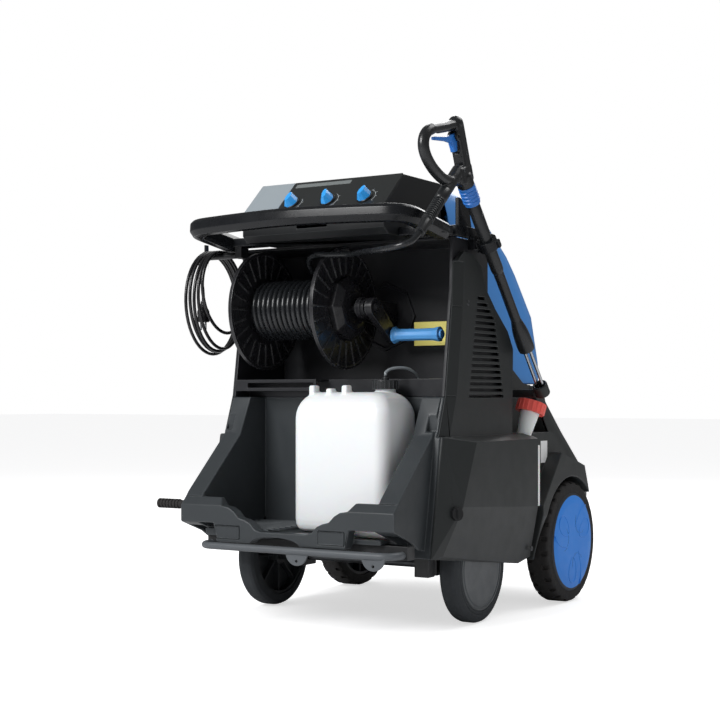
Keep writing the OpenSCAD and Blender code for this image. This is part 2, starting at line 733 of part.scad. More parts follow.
module crank_arm() {
    color(black) difference() {
        union() {
            rod_x(23, 62, 86, reel_y, reel_z);
            yz(68, 14) {
                polygon([for (s = [1, -1], e = s > 0 ? [0, 1] : [1, 0])
                    [reel_y, reel_z] + e * crank_r * crank_dir
                        + s * (20 - 3 * e) * [-crank_dir[1], crank_dir[0]]]);
                translate([grip_y, grip_z]) circle(17);
            }
            rod_x(5, 80, 88 + grip_len, grip_y, grip_z);
            rod_x(11, 86.3 + grip_len, 92 + grip_len, grip_y, grip_z);
        }
        rod_x(shaft_d / 2 + running, 50, 84, reel_y, reel_z);
    }
}
module crank_grip() {
    x0 = 86;
    color(blue) difference() {
        union() {
            rod_x(15, x0 - 3, x0 + grip_len, grip_y, grip_z);
            rod_x(21, x0 - 3, x0 + 3, grip_y, grip_z);
            rod_x(18, x0 + grip_len - 6, x0 + grip_len, grip_y, grip_z);
        }
        rod_x(5 + running, 50, 300, grip_y, grip_z);
    }
}

// ---------- Gun and lance: z up along the lance or the gun, y towards the machine ----------
lance_lean = 41.5;
gun_lean = 22;
pipes_low = 600;
module at_lance() translate([lance_x, -290, 973]) rotate([lance_lean, 0, 0]) children();
module at_gun() translate([lance_x, -290, 973]) rotate([gun_lean, 0, 0]) children();
trigger_at = [-16, 112];
hose_out = [-88, 46];
module gun_body() {
    loop = route([[0, -110, 149], [0, -140, 149], [0, -158, 131], [0, -152, 103], [0, -138, 79],
                  [0, -120, 59], [0, -98, 41], [0, -70, 29], [0, -36, 21]], 3);
    color(black) {
        at_gun() difference() {
            union() {
                yz(-11, 22) {
                    polygon([[-14, 8], [16, 8], [18, 137], [-14, 137]]);
                    translate([0, 137]) circle(18);
                    polygon([[-22, 124], [-130, 146], [-150, 155], [-128, 163], [-50, 151], [0, 155],
                             [0, 120]]);
                    translate(trigger_at) circle(8);
                    translate([-8, 104]) square([10, 16]);
                }
                yz(-14, 28) polygon([[-38, 7], [18, 7], [18, 44], [-20, 50], [-38, 34]]);
                tube(loop, 10.5, 10, [1, 0, 0]);
            }
            // Slot and bore for the trigger
            box([-5.5, -40, 76], [5.5, -5, 124]);
            rod_x(3 + running, -8.5, 8.5, trigger_at[0], trigger_at[1]);
        }
        at_lance() {
            cylinder(r = 19, h = 30);
            rod_y(14, hose_out[0], -8, 0, hose_out[1]);
        }
    }
}
module gun_trigger() {
    color(blue) at_gun() {
        yz(-5, 10) polygon([[-34, 82], [-20, 82], [-16, 98], [-9, 106], [-9, 118], [-24, 119], [-60, 122],
                            [-108, 134], [-108, 127], [-60, 113], [-38, 104]]);
        rod_x(3, -8, 8, trigger_at[0], trigger_at[1]);
    }
}
module lance_collar() {
    color(blue) at_lance() difference() {
        union() {
            translate([0, 0, -collar_len]) cylinder(r = 20, h = collar_len - air);
            for (k = [0:11]) rotate([0, 0, 30 * k]) translate([18, -2, -collar_len + 5])
                cube([4, 4, collar_len - 10]);
        }
        translate([0, 0, -collar_len - 1]) cylinder(r = 9 + running, h = collar_len + 2);
    }
}
module lance_grip() {
    color(black) at_lance() {
        translate([0, 0, -collar_len - 1]) cylinder(r = 9, h = collar_len + 1);
        translate([0, 0, -235]) cylinder(r = lance_d / 2, h = 235 - collar_len - air);
        translate([0, 0, -377]) cylinder(r = 12, h = 150);
    }
}
module lance_sleeve() {
    color(dark) at_lance() {
        translate([0, 0, -465]) cylinder(r = 19, h = 88);
        for (z = [-462, -432, -388]) translate([0, 0, z]) cylinder(r = 20.5, h = 8);
    }
}
module lance_pipes() {
    color(steel) at_lance() for (x = [-7.5, 7.5])
        translate([x, 0, -pipes_low]) cylinder(r = pipe_d / 2, h = pipes_low - 465);
}
module lance_holder() {
    color(black) difference() {
        union() {
            box([console_w / 2, -290, recess_top], [300, -262, 890]);
            yz(290, 10) polygon([[-276, 952], [-230, 946], [-208, recess_top], [-276, recess_top]]);
            box([recess_x, -240, recess_top], [304, -160, 890]);
            box([recess_x, -210, 842], [304, -160, recess_top + 1]);
            at_lance() translate([0, 0, -170]) {
                translate([-25, -14, 0]) cube([20, 28, 26]);
                translate([15, -5, 3]) cube([16, 10, 20]);
                cylinder(r = 23, h = 26);
            }
        }
        at_lance() translate([0, 0, -200]) cylinder(r = lance_d / 2 + running, h = 90);
    }
}

// Ribbed sleeve over the hose at the gun
module bend_sleeve() {
    r = hose_d / 2 + running;
    color(black) at_lance() translate([0, hose_out[0], hose_out[1]]) rotate([90, 0, 0])
        rotate_extrude($fn = 32) polygon(concat(
            [[r, 0], [14, 0], [14, 32]],
            [for (z = [33:6:105]) each [[10.5, z], [12.5, z + 1.5], [12.5, z + 4.5], [10.5, z + 5.5]]],
            [[11, 112], [11, 148], [r, 148]]));
}

hose_start = [[lance_x, -462.8, 881.6], [lance_x, -480, 866.4]];
hose_points = [
    [lance_x, -497.3, 851.1], [322, -512, 838.5], [318, -522, 830], [303, -532, 823], [275, -530, 819],
    [240, -510, 819], [200, -480, 821], [156, -440, 825], [92, -392, 827], [61, -379, 829], [11, -366, 832],
    [-10, -359, 835], [-34, -347, 835], [-54, -336, 830], [-66, -322, 821], [-71, -306, 809], [-72, -290, 802]
];
module spray_hose() {
    over = coil_r + hose_d + 1.2;
    wrap = [for (a = [90:-9:36]) [-72 - (90 - a) * 0.07, reel_y + over * cos(a), reel_z + over * sin(a)]];
    color(dark) tube(concat(hose_start, route(hose_points, 3), wrap), hose_d / 2, 8, [0, 0, 1]);
}

// ---------- Containers ----------
canister_x = 75;
canister_y = -347;
cap_at = [135, -315];
canister_top = tray_floor + canister_h;
module canister() {
    w = canister_w;
    d = canister_d;
    h = canister_h;
    color(white) translate([canister_x, canister_y, tray_floor]) difference() {
        union() {
            translate([0, 0, 7]) linear_extrude(h - 29) rounded(w, d, 36);
            translate([0, 0, 2]) linear_extrude(h - 14) rounded(w - 8, d - 8, 32);
            linear_extrude(h - 5) rounded(w - 22, d - 22, 28);
            linear_extrude(h) rounded(w - 44, d - 44, 20);
            translate([cap_at[0] - canister_x, cap_at[1] - canister_y, 0]) cylinder(r = 23, h = h + 17);
            // Stumps on the shoulder
            for (x = [-91, -46, -5]) translate([x, -52, h - 4]) cube([16, 26, 15]);
        }
        translate([0, 0, 4]) linear_extrude(h - 8) rounded(w - 52, d - 52, 18);
        translate([0, 0, 10]) linear_extrude(h - 36) rounded(w - 6, d - 6, 33);
        translate([cap_at[0] - canister_x, cap_at[1] - canister_y, h - 20]) cylinder(r = 19, h = 60);
    }
}
module canister_cap() {
    color(black) translate([cap_at[0], cap_at[1], canister_top]) difference() {
        union() {
            translate([0, 0, 2]) cylinder(r = canister_cap_d / 2, h = 20);
            for (k = [0:17]) rotate([0, 0, 20 * k])
                translate([canister_cap_d / 2 - 1, -1.5, 3]) cube([2, 3, 17]);
            cylinder(r = 8, h = 28);
            cylinder(r = 5, h = 33);
        }
        translate([0, 0, -1]) cylinder(r = 23 + air, h = 18 + air);
    }
}
module suction_hose() {
    z0 = canister_top + 33 + air;
    p = [[cap_at[0], cap_at[1], z0 + 6], [140, -306, z0 + 13], [150, -290, z0 + 17],
         [162, -268, z0 + 16], [170, -248, z0 + 8], [hose_hole[0], -232, z0 - 2],
         [hose_hole[0], hose_hole[1], z0 - 10], [hose_hole[0], hose_hole[1], z0 - 16]];
    color(white) tube(concat([[cap_at[0], cap_at[1], z0]], route(p, 3)), 3.5, 8, [1, 0, 0]);
}
module at_neck() translate(neck_at) rotate(neck_tilt) children();
module side_tank() {
    color(white) difference() {
        union() {
            translate([278.25, 21, tank_z]) linear_extrude(163) rounded(32.5, 162, 12);
            // Level strip between the cover and the rear body
            box([288, 74, 250], [327, 89.7, 396]);
            at_neck() {
                translate([0, 0, -30]) cylinder(r = 14, h = 30);
                translate([0, 0, -4]) cylinder(r1 = 14, r2 = 24, h = 88);
            }
        }
        translate([278.25, 21, tank_z + 3]) linear_extrude(156) rounded(27.5, 157, 10);
        at_neck() {
            translate([0, 0, -24]) cylinder(r = 11, h = 24);
            translate([0, 0, -4]) cylinder(r1 = 11, r2 = 21.5, h = 94);
        }
    }
}
module side_tank_cap() {
    r = red_cap_d / 2;
    color(red) at_neck() difference() {
        union() {
            translate([0, 0, 80]) cylinder(r = r, h = 27);
            for (k = [0:17]) rotate([0, 0, 20 * k]) translate([r - 1, -2, 81]) cube([2.2, 4, 25]);
        }
        translate([0, 0, 70]) cylinder(r = 26, h = 14 + air);
    }
}

// ---------- Small outside pieces ----------
module side_peg() {
    color(black) {
        rod_x(9, -356, -arm_out, -508, 268);
        for (k = [0:6]) rod_x(11, -355 + 9 * k, -350 + 9 * k, -508, 268);
    }
}
module water_inlet() {
    color("#b79a55") {
        box([-122, cross_y[3] + rail, 163], [-78, 496, 189.5]);
        rod_y(10, 490, 530, -100, 176);
        rod_y(12.5, 503, 509, -100, 176);
    }
}
// Small filter beside the canister, held by the tray's right arm
module filter_bowl() {
    color(white) {
        rod_x(14, 146, 222, -458, tray_floor + 14.3);
        rod_x(9, 222, arm_in, -458, tray_floor + 14.3);
        rod_x(11, 138, 146, -458, tray_floor + 14.3);
    }
}

// ---------- Mains cable ----------
module cable_gland() {
    color(black) {
        box([-314, -200, 836], [-recess_x, -172, 860]);
        rod_y(8, -212, -190, -307, 848);
    }
}
coil_top = hook_z + hook_r + cable_d / 2 + air;
cable_pitch = 8.5;
lead_points = [[-307, -221, 848], [-307, -236, 848.5], [-307, -256, 851], [-306.5, -285, 856],
               [-306, -312, 858]];
loop_high = [84, 108, 122, 114, 123, 120];
// Value between the entries of a list, with soft changes
function between(l, t) =
    let (i = min(floor(t), len(l) - 2), f = t - i) lerp(l[i], l[i + 1], f * f * (3 - 2 * f));
function hung(t) =
    let (a = 90 + 360 * t)
        [-306 - cable_pitch * t, hook_y + 6 * (1 - sin(a)) + (80 + 4.8 * t) * cos(a),
         coil_top - between(loop_high, t) * (1 - sin(a))];
plug_at = [-340, -366, 740];
tail_x = -306 - cable_pitch * cable_loops - 0.3;
tail_points = [[tail_x, -352, coil_top - 3], [tail_x, -364, coil_top - 14], [tail_x, -368, 828],
               [-346, -367, 800], [-342, -366, 774], [plug_at[0], plug_at[1], 754]];
cable_path = concat([[-307, -212, 848]], route(lead_points, 2), [for (k = [0:24 * cable_loops]) hung(k / 24)],
                    route(tail_points, 2), [plug_at]);
module mains_cable() {
    color(black) tube(cable_path, cable_d / 2, 6, [1, 0, 0]);
}
echo(cable_gap = least_gap(cable_path, 12, cable_d));
module mains_plug() {
    color(black) translate(plug_at) {
        translate([0, 0, -16]) cylinder(r1 = 9, r2 = 6, h = 16);
        translate([0, 0, -50]) cylinder(r = 15, h = 34);
    }
    color(steel) translate(plug_at)
        for (x = [-7, 7]) translate([x, 0, -69]) cylinder(r = 2.4, h = 20);
}

// ---------- Inside ----------
module motor() {
    color(grey) {
        rod_x(78, -190, 10, 335, frame_top + floor_t + 84);
        for (k = [0:6]) rod_x(82, -176 + 24 * k, -168 + 24 * k, 335, frame_top + floor_t + 84);
        box([-160, 285, frame_top + floor_t], [-10, 385, frame_top + floor_t + 40]);
    }
}
module pump() {
    color(steel) {
        rod_x(52, 10, 70, 335, frame_top + floor_t + 84);
        box([70, 280, frame_top + floor_t], [150, 390, frame_top + floor_t + 130]);
        for (y = [300, 335, 370]) rod_x(14, 150, 172, y, frame_top + floor_t + 100);
    }
}
module boiler() {
    shell_t = 3;
    color(steel) difference() {
        union() {
            translate([0, 60, frame_top + floor_t]) cylinder(r = 145, h = 590);
            translate([0, -50, 780]) cylinder(r = 40, h = 205);
            // Flat seat of the blower
            box([-34, 190, 596], [34, 208, 664]);
        }
        // Combustion chamber, with the flue out of its top and the blower's inlet at the back
        translate([0, 60, frame_top + floor_t + shell_t]) cylinder(r = 145 - shell_t, h = 590 - 2 * shell_t);
        translate([0, -50, 785]) cylinder(r = 40 - shell_t, h = 210);
        rod_y(25, 180, 210, 0, 630);
    }
}
module burner_blower() {
    color(grey) {
        rod_x(62, -50, 50, 280, 640);
        box([-30, 208, 600], [30, 285, 660]);
    }
}

chassis_frame();
front_bumper();
axles();
front_tray();
reel_recess();
side_cover(true);  // side_cover_right
mirror([1, 0, 0]) side_cover(false);  // side_cover_left
rear_body();
hood();
console_housing();
console_fascia();
console_corner_panel();
knob(0);  // knob_left
knob(1);  // knob_middle
knob(2);  // knob_right
push_handle();
cable_hook();
reel_supports();
reel_drum();
reel_flange(reel_left, -1);  // reel_flange_left
reel_flange(reel_right, 1);  // reel_flange_right
reel_hub_cover();
hose_winding();
crank_arm();
crank_grip();
gun_body();
gun_trigger();
lance_collar();
lance_grip();
lance_sleeve();
lance_pipes();
lance_holder();
bend_sleeve();
spray_hose();
canister();
canister_cap();
suction_hose();
side_tank();
side_tank_cap();
latch();  // latch_right
mirror([1, 0, 0]) latch();  // latch_left
side_peg();
water_inlet();
cable_gland();
mains_cable();
mains_plug();
filter_bowl();
front_tyre(1);  // front_tyre_right
front_tyre(-1);  // front_tyre_left
front_rim(1);  // front_rim_right
front_rim(-1);  // front_rim_left
rear_tyre(1);  // rear_tyre_right
rear_tyre(-1);  // rear_tyre_left
rear_rim(1);  // rear_rim_right
rear_rim(-1);  // rear_rim_left
motor();
pump();
boiler();
burner_blower();
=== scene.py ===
import bpy
import math
from mathutils import Matrix, Vector


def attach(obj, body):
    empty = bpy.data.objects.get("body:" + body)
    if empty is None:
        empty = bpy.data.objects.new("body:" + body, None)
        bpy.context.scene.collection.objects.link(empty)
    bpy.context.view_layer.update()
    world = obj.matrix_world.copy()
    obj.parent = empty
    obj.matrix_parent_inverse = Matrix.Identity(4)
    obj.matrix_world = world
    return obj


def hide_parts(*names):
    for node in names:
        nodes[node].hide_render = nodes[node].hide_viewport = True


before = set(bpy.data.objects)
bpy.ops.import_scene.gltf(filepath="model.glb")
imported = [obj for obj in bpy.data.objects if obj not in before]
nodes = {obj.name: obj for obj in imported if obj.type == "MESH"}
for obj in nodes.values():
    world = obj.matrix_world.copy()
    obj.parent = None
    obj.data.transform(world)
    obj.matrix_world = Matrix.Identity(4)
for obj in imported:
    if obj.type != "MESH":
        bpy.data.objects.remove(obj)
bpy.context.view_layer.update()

# ---- Camera, floor and studio light ----
# The machine stands on a plain pale floor in soft light from three large panels and a bright room.
# The floor keeps the soft shadow under the wheels and runs off to white.
def added(tree, *kinds):
    """New shader nodes of these kinds."""
    return [tree.nodes.new("ShaderNode" + kind) for kind in kinds]


def wire(tree, *rows):
    """Links the output of one node to the input of another, in each row."""
    for start, out, end, into in rows:
        tree.links.new(start.outputs[out], end.inputs[into])


lens = bpy.data.cameras.new("camera")
lens.lens, lens.sensor_width, lens.shift_y = 71.4, 36, 0.052
camera = bpy.data.objects.new("camera", lens)
camera.location = (1.771, -3.061, 0.5108)
camera.rotation_euler = (math.radians(90), 0, math.radians(31.81))
bpy.context.scene.collection.objects.link(camera)
bpy.context.scene.camera = camera
bpy.context.scene.view_settings.view_transform = "Standard"

bpy.ops.mesh.primitive_plane_add(size=60, location=(0, 0, -0.0005))
floor = bpy.context.object
floor.name = "studio_floor"
floor_paint = bpy.data.materials.new("studio_floor_paint")
floor_paint.use_nodes = True
tree = floor_paint.node_tree
paint, output = tree.nodes["Principled BSDF"], tree.nodes["Material Output"]
paint.inputs["Base Color"].default_value = (0.78, 0.78, 0.79, 1)
paint.inputs["Roughness"].default_value = 0.9
glow, rays, both, shown = added(tree, "Emission", "LightPath", "AddShader", "MixShader")
glow.inputs["Strength"].default_value = 0.62
wire(tree, (paint, 0, both, 0), (glow, 0, both, 1), (rays, "Is Camera Ray", shown, 0), (paint, 0, shown, 1),
     (both, 0, shown, 2), (shown, 0, output, "Surface"))
floor.data.materials.append(floor_paint)

room = bpy.data.worlds.new("studio_room")
bpy.context.scene.world = room
room.use_nodes = True
tree = room.node_tree
walls, output = tree.nodes["Background"], tree.nodes["World Output"]
mirrored, backdrop, rays, seen = added(tree, "Background", "Background", "LightPath", "Math")
around, white = added(tree, "MixShader", "MixShader")
seen.operation = "MAXIMUM"
for shade, strength in ((walls, 0.42), (mirrored, 0.16), (backdrop, 1)):
    shade.inputs["Color"].default_value = (1, 1, 1, 1)
    shade.inputs["Strength"].default_value = strength
wire(tree, (rays, "Is Glossy Ray", around, 0), (walls, 0, around, 1), (mirrored, 0, around, 2),
     (rays, "Is Camera Ray", seen, 0), (rays, "Is Transmission Ray", seen, 1), (seen, 0, white, 0),
     (around, 0, white, 1), (backdrop, 0, white, 2), (white, 0, output, "Surface"))

for name, place, aim, size, power in (
    ("panel_front", (-0.9, -3.5, 2.5), (0, -0.2, 0.5), 1.6, 118),
    ("panel_right", (1.2, 1.9, 3.8), (0.2, 0, 0.5), 2.0, 45),
    ("panel_back", (-1.0, 3.2, 3.2), (0, 0, 0.6), 2.0, 60),
):
    lamp = bpy.data.lights.new(name, "AREA")
    lamp.shape, lamp.size, lamp.energy = "SQUARE", size, power
    holder = bpy.data.objects.new(name, lamp)
    holder.location = place
    holder.rotation_euler = (Vector(aim) - Vector(place)).to_track_quat("-Z", "Y").to_euler()
    bpy.context.scene.collection.objects.link(holder)

# ---- Chassis frame ----
# Square steel tubes welded into a ladder with axle blocks and a thin floor plate, under everything
# else. It is powder coated in a slightly rough black.
def alone(piece):
    """Leaves only this piece selected."""
    bpy.ops.object.select_all(action="DESELECT")
    piece.select_set(True)
    bpy.context.view_layer.objects.active = piece


def open_whole(piece):
    """Opens only this piece for editing, with all of it selected."""
    alone(piece)
    bpy.ops.object.mode_set(mode="EDIT")
    bpy.ops.mesh.select_all(action="SELECT")


def copy_of(node, name, flat_angle=0.4):
    """A CAD piece's shape as a new piece, with its corners joined and its flat faces whole."""
    piece = bpy.data.objects.new(name, nodes[node].data.copy())
    bpy.context.scene.collection.objects.link(piece)
    piece.data.materials.clear()
    alone(piece)
    bpy.ops.mesh.customdata_custom_splitnormals_clear()
    open_whole(piece)
    bpy.ops.mesh.remove_doubles(threshold=0.00002)
    if flat_angle:
        bpy.ops.mesh.dissolve_limited(angle_limit=math.radians(flat_angle))
    bpy.ops.object.mode_set(mode="OBJECT")
    return piece


def round_edges(piece, width, segments=2, over=30, smooth=40):
    """Rounds every edge sharper than the angle over, and shades the rest smooth."""
    alone(piece)
    rounding = piece.modifiers.new("rounded_edges", "BEVEL")
    rounding.width, rounding.segments = width, segments
    rounding.limit_method, rounding.angle_limit = "ANGLE", math.radians(over)
    rounding.use_clamp_overlap = False
    bpy.ops.object.modifier_apply(modifier=rounding.name)
    bpy.ops.object.shade_smooth_by_angle(angle=math.radians(smooth))
    flat = piece.modifiers.new("flat_faces", "WEIGHTED_NORMAL")
    flat.keep_sharp = True
    bpy.ops.object.modifier_apply(modifier=flat.name)
    return piece


def rgb(*seen):
    """A colour given as it looks: red, green and blue from 0 to 255."""
    return (*(c / 255 / 12.92 if c < 11 else ((c / 255 + 0.055) / 1.055) ** 2.4 for c in seen), 1)


def sockets(group, way, *rows):
    """Adds number sockets to a node group, with the value they start from."""
    for label, value in rows:
        socket = group.interface.new_socket(label, in_out=way, socket_type="NodeSocketFloat")
        if value is not None:
            socket.default_value = value


surface_grain = bpy.data.node_groups.new("surface_grain", "ShaderNodeTree")
sockets(surface_grain, "INPUT", ("Grain", 700), ("Blotches", 9))
sockets(surface_grain, "OUTPUT", ("Height", None), ("Tone", None), ("Patch", None))
given, made = surface_grain.nodes.new("NodeGroupInput"), surface_grain.nodes.new("NodeGroupOutput")
spot, = added(surface_grain, "TexCoord")
for scale_from, output, detail, times in (
        ("Grain", "Height", 3, 1), ("Blotches", "Tone", 4, 1), ("Blotches", "Patch", 2, 5)):
    noise, larger = added(surface_grain, "TexNoise", "Math")
    larger.operation = "MULTIPLY"
    larger.inputs[1].default_value = times
    noise.inputs["Detail"].default_value = detail
    wire(surface_grain, (given, scale_from, larger, 0), (larger, 0, noise, "Scale"),
         (spot, "Object", noise, "Vector"), (noise, "Fac", made, output))

worn_edges = bpy.data.node_groups.new("worn_edges", "ShaderNodeTree")
sockets(worn_edges, "INPUT", ("Width", 0.0015), ("Amount", 0.5))
sockets(worn_edges, "OUTPUT", ("Mask", None))
given, made = worn_edges.nodes.new("NodeGroupInput"), worn_edges.nodes.new("NodeGroupOutput")
spot, softened, true, along, broken = added(
    worn_edges, "TexCoord", "Bevel", "NewGeometry", "VectorMath", "TexNoise")
softened.samples = 3
along.operation = "DOT_PRODUCT"
broken.inputs["Scale"].default_value = 60
broken.inputs["Detail"].default_value = 5
turned_away, stronger, patchy, rubbed = steps = added(worn_edges, "Math", "Math", "Math", "Math")
for step, way in zip(steps, ("SUBTRACT", "MULTIPLY", "MULTIPLY", "MULTIPLY")):
    step.operation, step.use_clamp = way, True
turned_away.inputs[0].default_value = 1
stronger.inputs[1].default_value = 9
wire(worn_edges, (given, "Width", softened, "Radius"), (softened, "Normal", along, 0),
     (true, "Normal", along, 1), (spot, "Object", broken, "Vector"), (along, "Value", turned_away, 1),
     (turned_away, 0, stronger, 0), (stronger, 0, patchy, 0), (broken, "Fac", patchy, 1),
     (patchy, 0, rubbed, 0), (given, "Amount", rubbed, 1), (rubbed, 0, made, "Mask"))


def finish(name, colour, second, rough, spread=0.12, grain=700, depth=0.00006, blotches=9, worn=None, wear=0.35,
           edge=0.0015, **plain):
    """A finish whose colour wanders between two, with grain, uneven gloss and lighter worn edges."""
    made = bpy.data.materials.new(name)
    made.use_nodes = True
    tree = made.node_tree
    skin = tree.nodes["Principled BSDF"]
    grained, edges, wander, rub, gloss, raised = added(tree, "Group", "Group", "Mix", "Mix", "MapRange", "Bump")
    grained.node_tree, edges.node_tree = surface_grain, worn_edges
    wander.data_type = rub.data_type = "RGBA"
    colour = rgb(*colour)
    worn = rgb(*worn) if worn else (*(min(1, c * 1.9 + 0.02) for c in colour[:3]), 1)
    for node, values in (
        (skin, {label.replace("_", " "): value for label, value in plain.items()}),
        (grained, {"Grain": grain, "Blotches": blotches}),
        (edges, {"Width": edge, "Amount": wear}),
        (wander, {"A": colour, "B": rgb(*second)}),
        (rub, {"B": worn}),
        (gloss, {"From Min": 0.3, "From Max": 0.7, "To Min": rough - spread / 2, "To Max": rough + spread / 2}),
        (raised, {"Distance": depth}),
    ):
        for label, value in values.items():
            node.inputs[label].default_value = value
    wire(tree, (grained, "Tone", wander, "Factor"), (wander, "Result", rub, "A"), (edges, "Mask", rub, "Factor"),
         (rub, "Result", skin, "Base Color"), (grained, "Patch", gloss, "Value"),
         (gloss, 0, skin, "Roughness"), (grained, "Height", raised, "Height"),
         (raised, "Normal", skin, "Normal"))
    return made


def painted(piece, paint):
    """The piece, all of it in this finish."""
    piece.data.materials.clear()
    piece.data.materials.append(paint)
    return piece


def fit(piece, body, slot, *replaced):
    """Puts a finished piece on its body in place of the CAD nodes."""
    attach(piece, body)
    if replaced:
        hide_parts(*replaced)


def dress(node, name, paint, body, slot, width, flat_angle=0.4, **rounding):
    """Puts a CAD node's own shape, with rounded edges and a finish, in its place."""
    piece = round_edges(copy_of(node, name, flat_angle), width, **rounding)
    fit(painted(piece, paint), body, slot, node)


def coat(material, *names):
    """Gives CAD nodes their finish."""
    for name in names:
        for socket in nodes[name].material_slots:
            socket.material = material


frame_paint = finish("frame_paint", (26, 27, 29), (36, 37, 39), 0.45, spread=0.2, grain=500, depth=0.00012,
                     worn=(96, 98, 100), wear=0.5)
dress("chassis_frame", "chassis_tubes", frame_paint, "machine", "frame_steel", 0.002)

# ---- Bumper ----
# A bent round steel tube in front of the tray, with two flat holed tabs welded under it. It is
# coated in satin grey.
bumper_paint = finish("bumper_paint", (78, 82, 86), (92, 96, 100), 0.4, spread=0.15, grain=600, depth=0.00008,
                      worn=(160, 163, 166), wear=0.4, edge=0.001, Specular_IOR_Level=0.4)
dress("front_bumper", "bumper_tube", bumper_paint, "machine", "tube_grey", 0.0008, over=50)

# ---- Axles and wheels ----
# Two steel axles run through the frame. The front wheels have plain grey tyres on dark ribbed
# hubs, and the rear wheels have black lugged tyres on ribbed hubs closed by blue moulded discs.
def as_made(name):
    """The shape that was just added, named, with its place and size kept in its points."""
    piece = bpy.context.object
    piece.name = piece.data.name = name
    bpy.ops.object.transform_apply(location=True, rotation=True, scale=True)
    return piece


def face_outwards():
    """Turns the faces of the piece in edit outwards, and closes the edit."""
    bpy.ops.mesh.select_all(action="SELECT")
    bpy.ops.mesh.normals_make_consistent(inside=False)
    bpy.ops.object.mode_set(mode="OBJECT")


def drawn(name, points, closed=False):
    """A chain of edges drawn from point to point, starting from a small plane merged to one corner."""
    bpy.ops.mesh.primitive_plane_add(size=0.001, location=points[0])
    piece = as_made(name)
    open_whole(piece)
    bpy.ops.mesh.merge(type="CENTER")
    for before, after in zip(points, points[1:] + points[:1] * closed):
        step = Vector(after) - Vector(before)
        bpy.ops.mesh.extrude_region_move(TRANSFORM_OT_translate={"value": tuple(step)})
    bpy.ops.mesh.select_all(action="SELECT")
    bpy.ops.mesh.remove_doubles(threshold=0.00001)
    bpy.ops.object.mode_set(mode="OBJECT")
    return piece


def turned(name, outline, start, axis, steps=96, soft=0, closed=False, smooth=32):
    """A round piece spun from its outline, pairs of distance from the axis and distance along it."""
    axis = Vector(axis).normalized()
    out = axis.orthogonal().normalized()
    piece = drawn(name, [tuple(Vector(start) + out * r + axis * d) for r, d in outline], closed)
    open_whole(piece)
    if soft:
        bpy.ops.mesh.bevel(offset=soft, segments=3, affect="VERTICES", clamp_overlap=True)
        bpy.ops.mesh.select_all(action="SELECT")
    bpy.ops.mesh.spin(steps=steps, angle=math.tau, center=start, axis=axis)
    bpy.ops.mesh.select_all(action="SELECT")
    bpy.ops.mesh.remove_doubles(threshold=0.00002)
    face_outwards()
    bpy.ops.object.shade_smooth_by_angle(angle=math.radians(smooth))
    return piece


def joined(name, parts):
    """Several shapes as one piece."""
    bpy.ops.object.select_all(action="DESELECT")
    for part in parts:
        part.select_set(True)
    bpy.context.view_layer.objects.active = parts[0]
    bpy.ops.object.join()
    parts[0].name = parts[0].data.name = name
    return parts[0]


def two_sided(name):
    """The same name on the operator's left and right, with the direction outwards."""
    return ((name + "_right", 1), (name + "_left", -1))


def lay_cord(name, points, diameter):
    """A round cord along the points, as a curve."""
    line = bpy.data.curves.new(name, "CURVE")
    line.dimensions = "3D"
    spline = line.splines.new("POLY")
    spline.points.add(len(points) - 1)
    for spot, place in zip(spline.points, points):
        spot.co = (*place, 1)
    line.bevel_depth = diameter / 2
    line.bevel_resolution = 5
    line.use_fill_caps = True
    piece = bpy.data.objects.new(name, line)
    bpy.context.scene.collection.objects.link(piece)
    return piece


def solid(piece):
    """A cord's curve as a mesh."""
    alone(piece)
    bpy.ops.object.convert(target="MESH")
    return piece


dull_steel = finish("dull_steel", (70, 72, 75), (92, 94, 97), 0.38, spread=0.2, grain=300, depth=0.00005,
                    worn=(150, 152, 155), Metallic=0.85)
coat(dull_steel, "axles")

front_x, front_y, front_z = 0.3, -0.165, 0.125
rear_y, rear_z = 0.259, 0.15
grey_rubber = finish("grey_rubber", (50, 53, 56), (64, 67, 70), 0.72, spread=0.15, grain=260, depth=0.00025,
                     blotches=22, wear=0.15, worn=(104, 106, 108), Specular_IOR_Level=0.2)
dark_hub = finish("dark_hub", (38, 41, 43), (48, 51, 54), 0.5, grain=600, wear=0.3, Specular_IOR_Level=0.3)
grey_hub = finish("grey_hub", (66, 70, 73), (76, 80, 83), 0.36, grain=600, depth=0.00005, wear=0.2,
                  Specular_IOR_Level=0.4)
for name, side in two_sided("front_tyre"):
    tyre = turned(name + "_rubber", [
        (0.098, 0), (0.1045, 0), (0.1055, 0.0012), (0.108, 0.0012), (0.109, 0), (0.115, 0.0015),
        (0.1225, 0.006), (0.125, 0.013), (0.125, 0.035), (0.1225, 0.042), (0.115, 0.0465), (0.098, 0.048)],
        (front_x * side, front_y, front_z), (-side, 0, 0), steps=128, soft=0.0011, closed=True, smooth=50)
    fit(painted(tyre, grey_rubber), name.replace("tyre", "wheel"), "grey_tyre", name)
for name, side in two_sided("front_rim"):
    rim = round_edges(copy_of(name, name + "_hub"), 0.0011, over=35)
    cover = turned(name + "_cover", [
        (0, 0.0012), (0.052, 0.001), (0.078, 0.0002), (0.086, -0.0004), (0.0885, 0.001), (0.091, 0.001),
        (0.0925, -0.0006), (0.0965, -0.0002), (0.0965, 0.003), (0, 0.003)],
        (front_x * side, front_y, front_z), (-side, 0, 0), soft=0.0005, smooth=50)
    rim = joined(name + "_hub", [painted(rim, dark_hub), painted(cover, grey_hub)])
    fit(rim, name.replace("rim", "wheel"), "grey_rim", name)

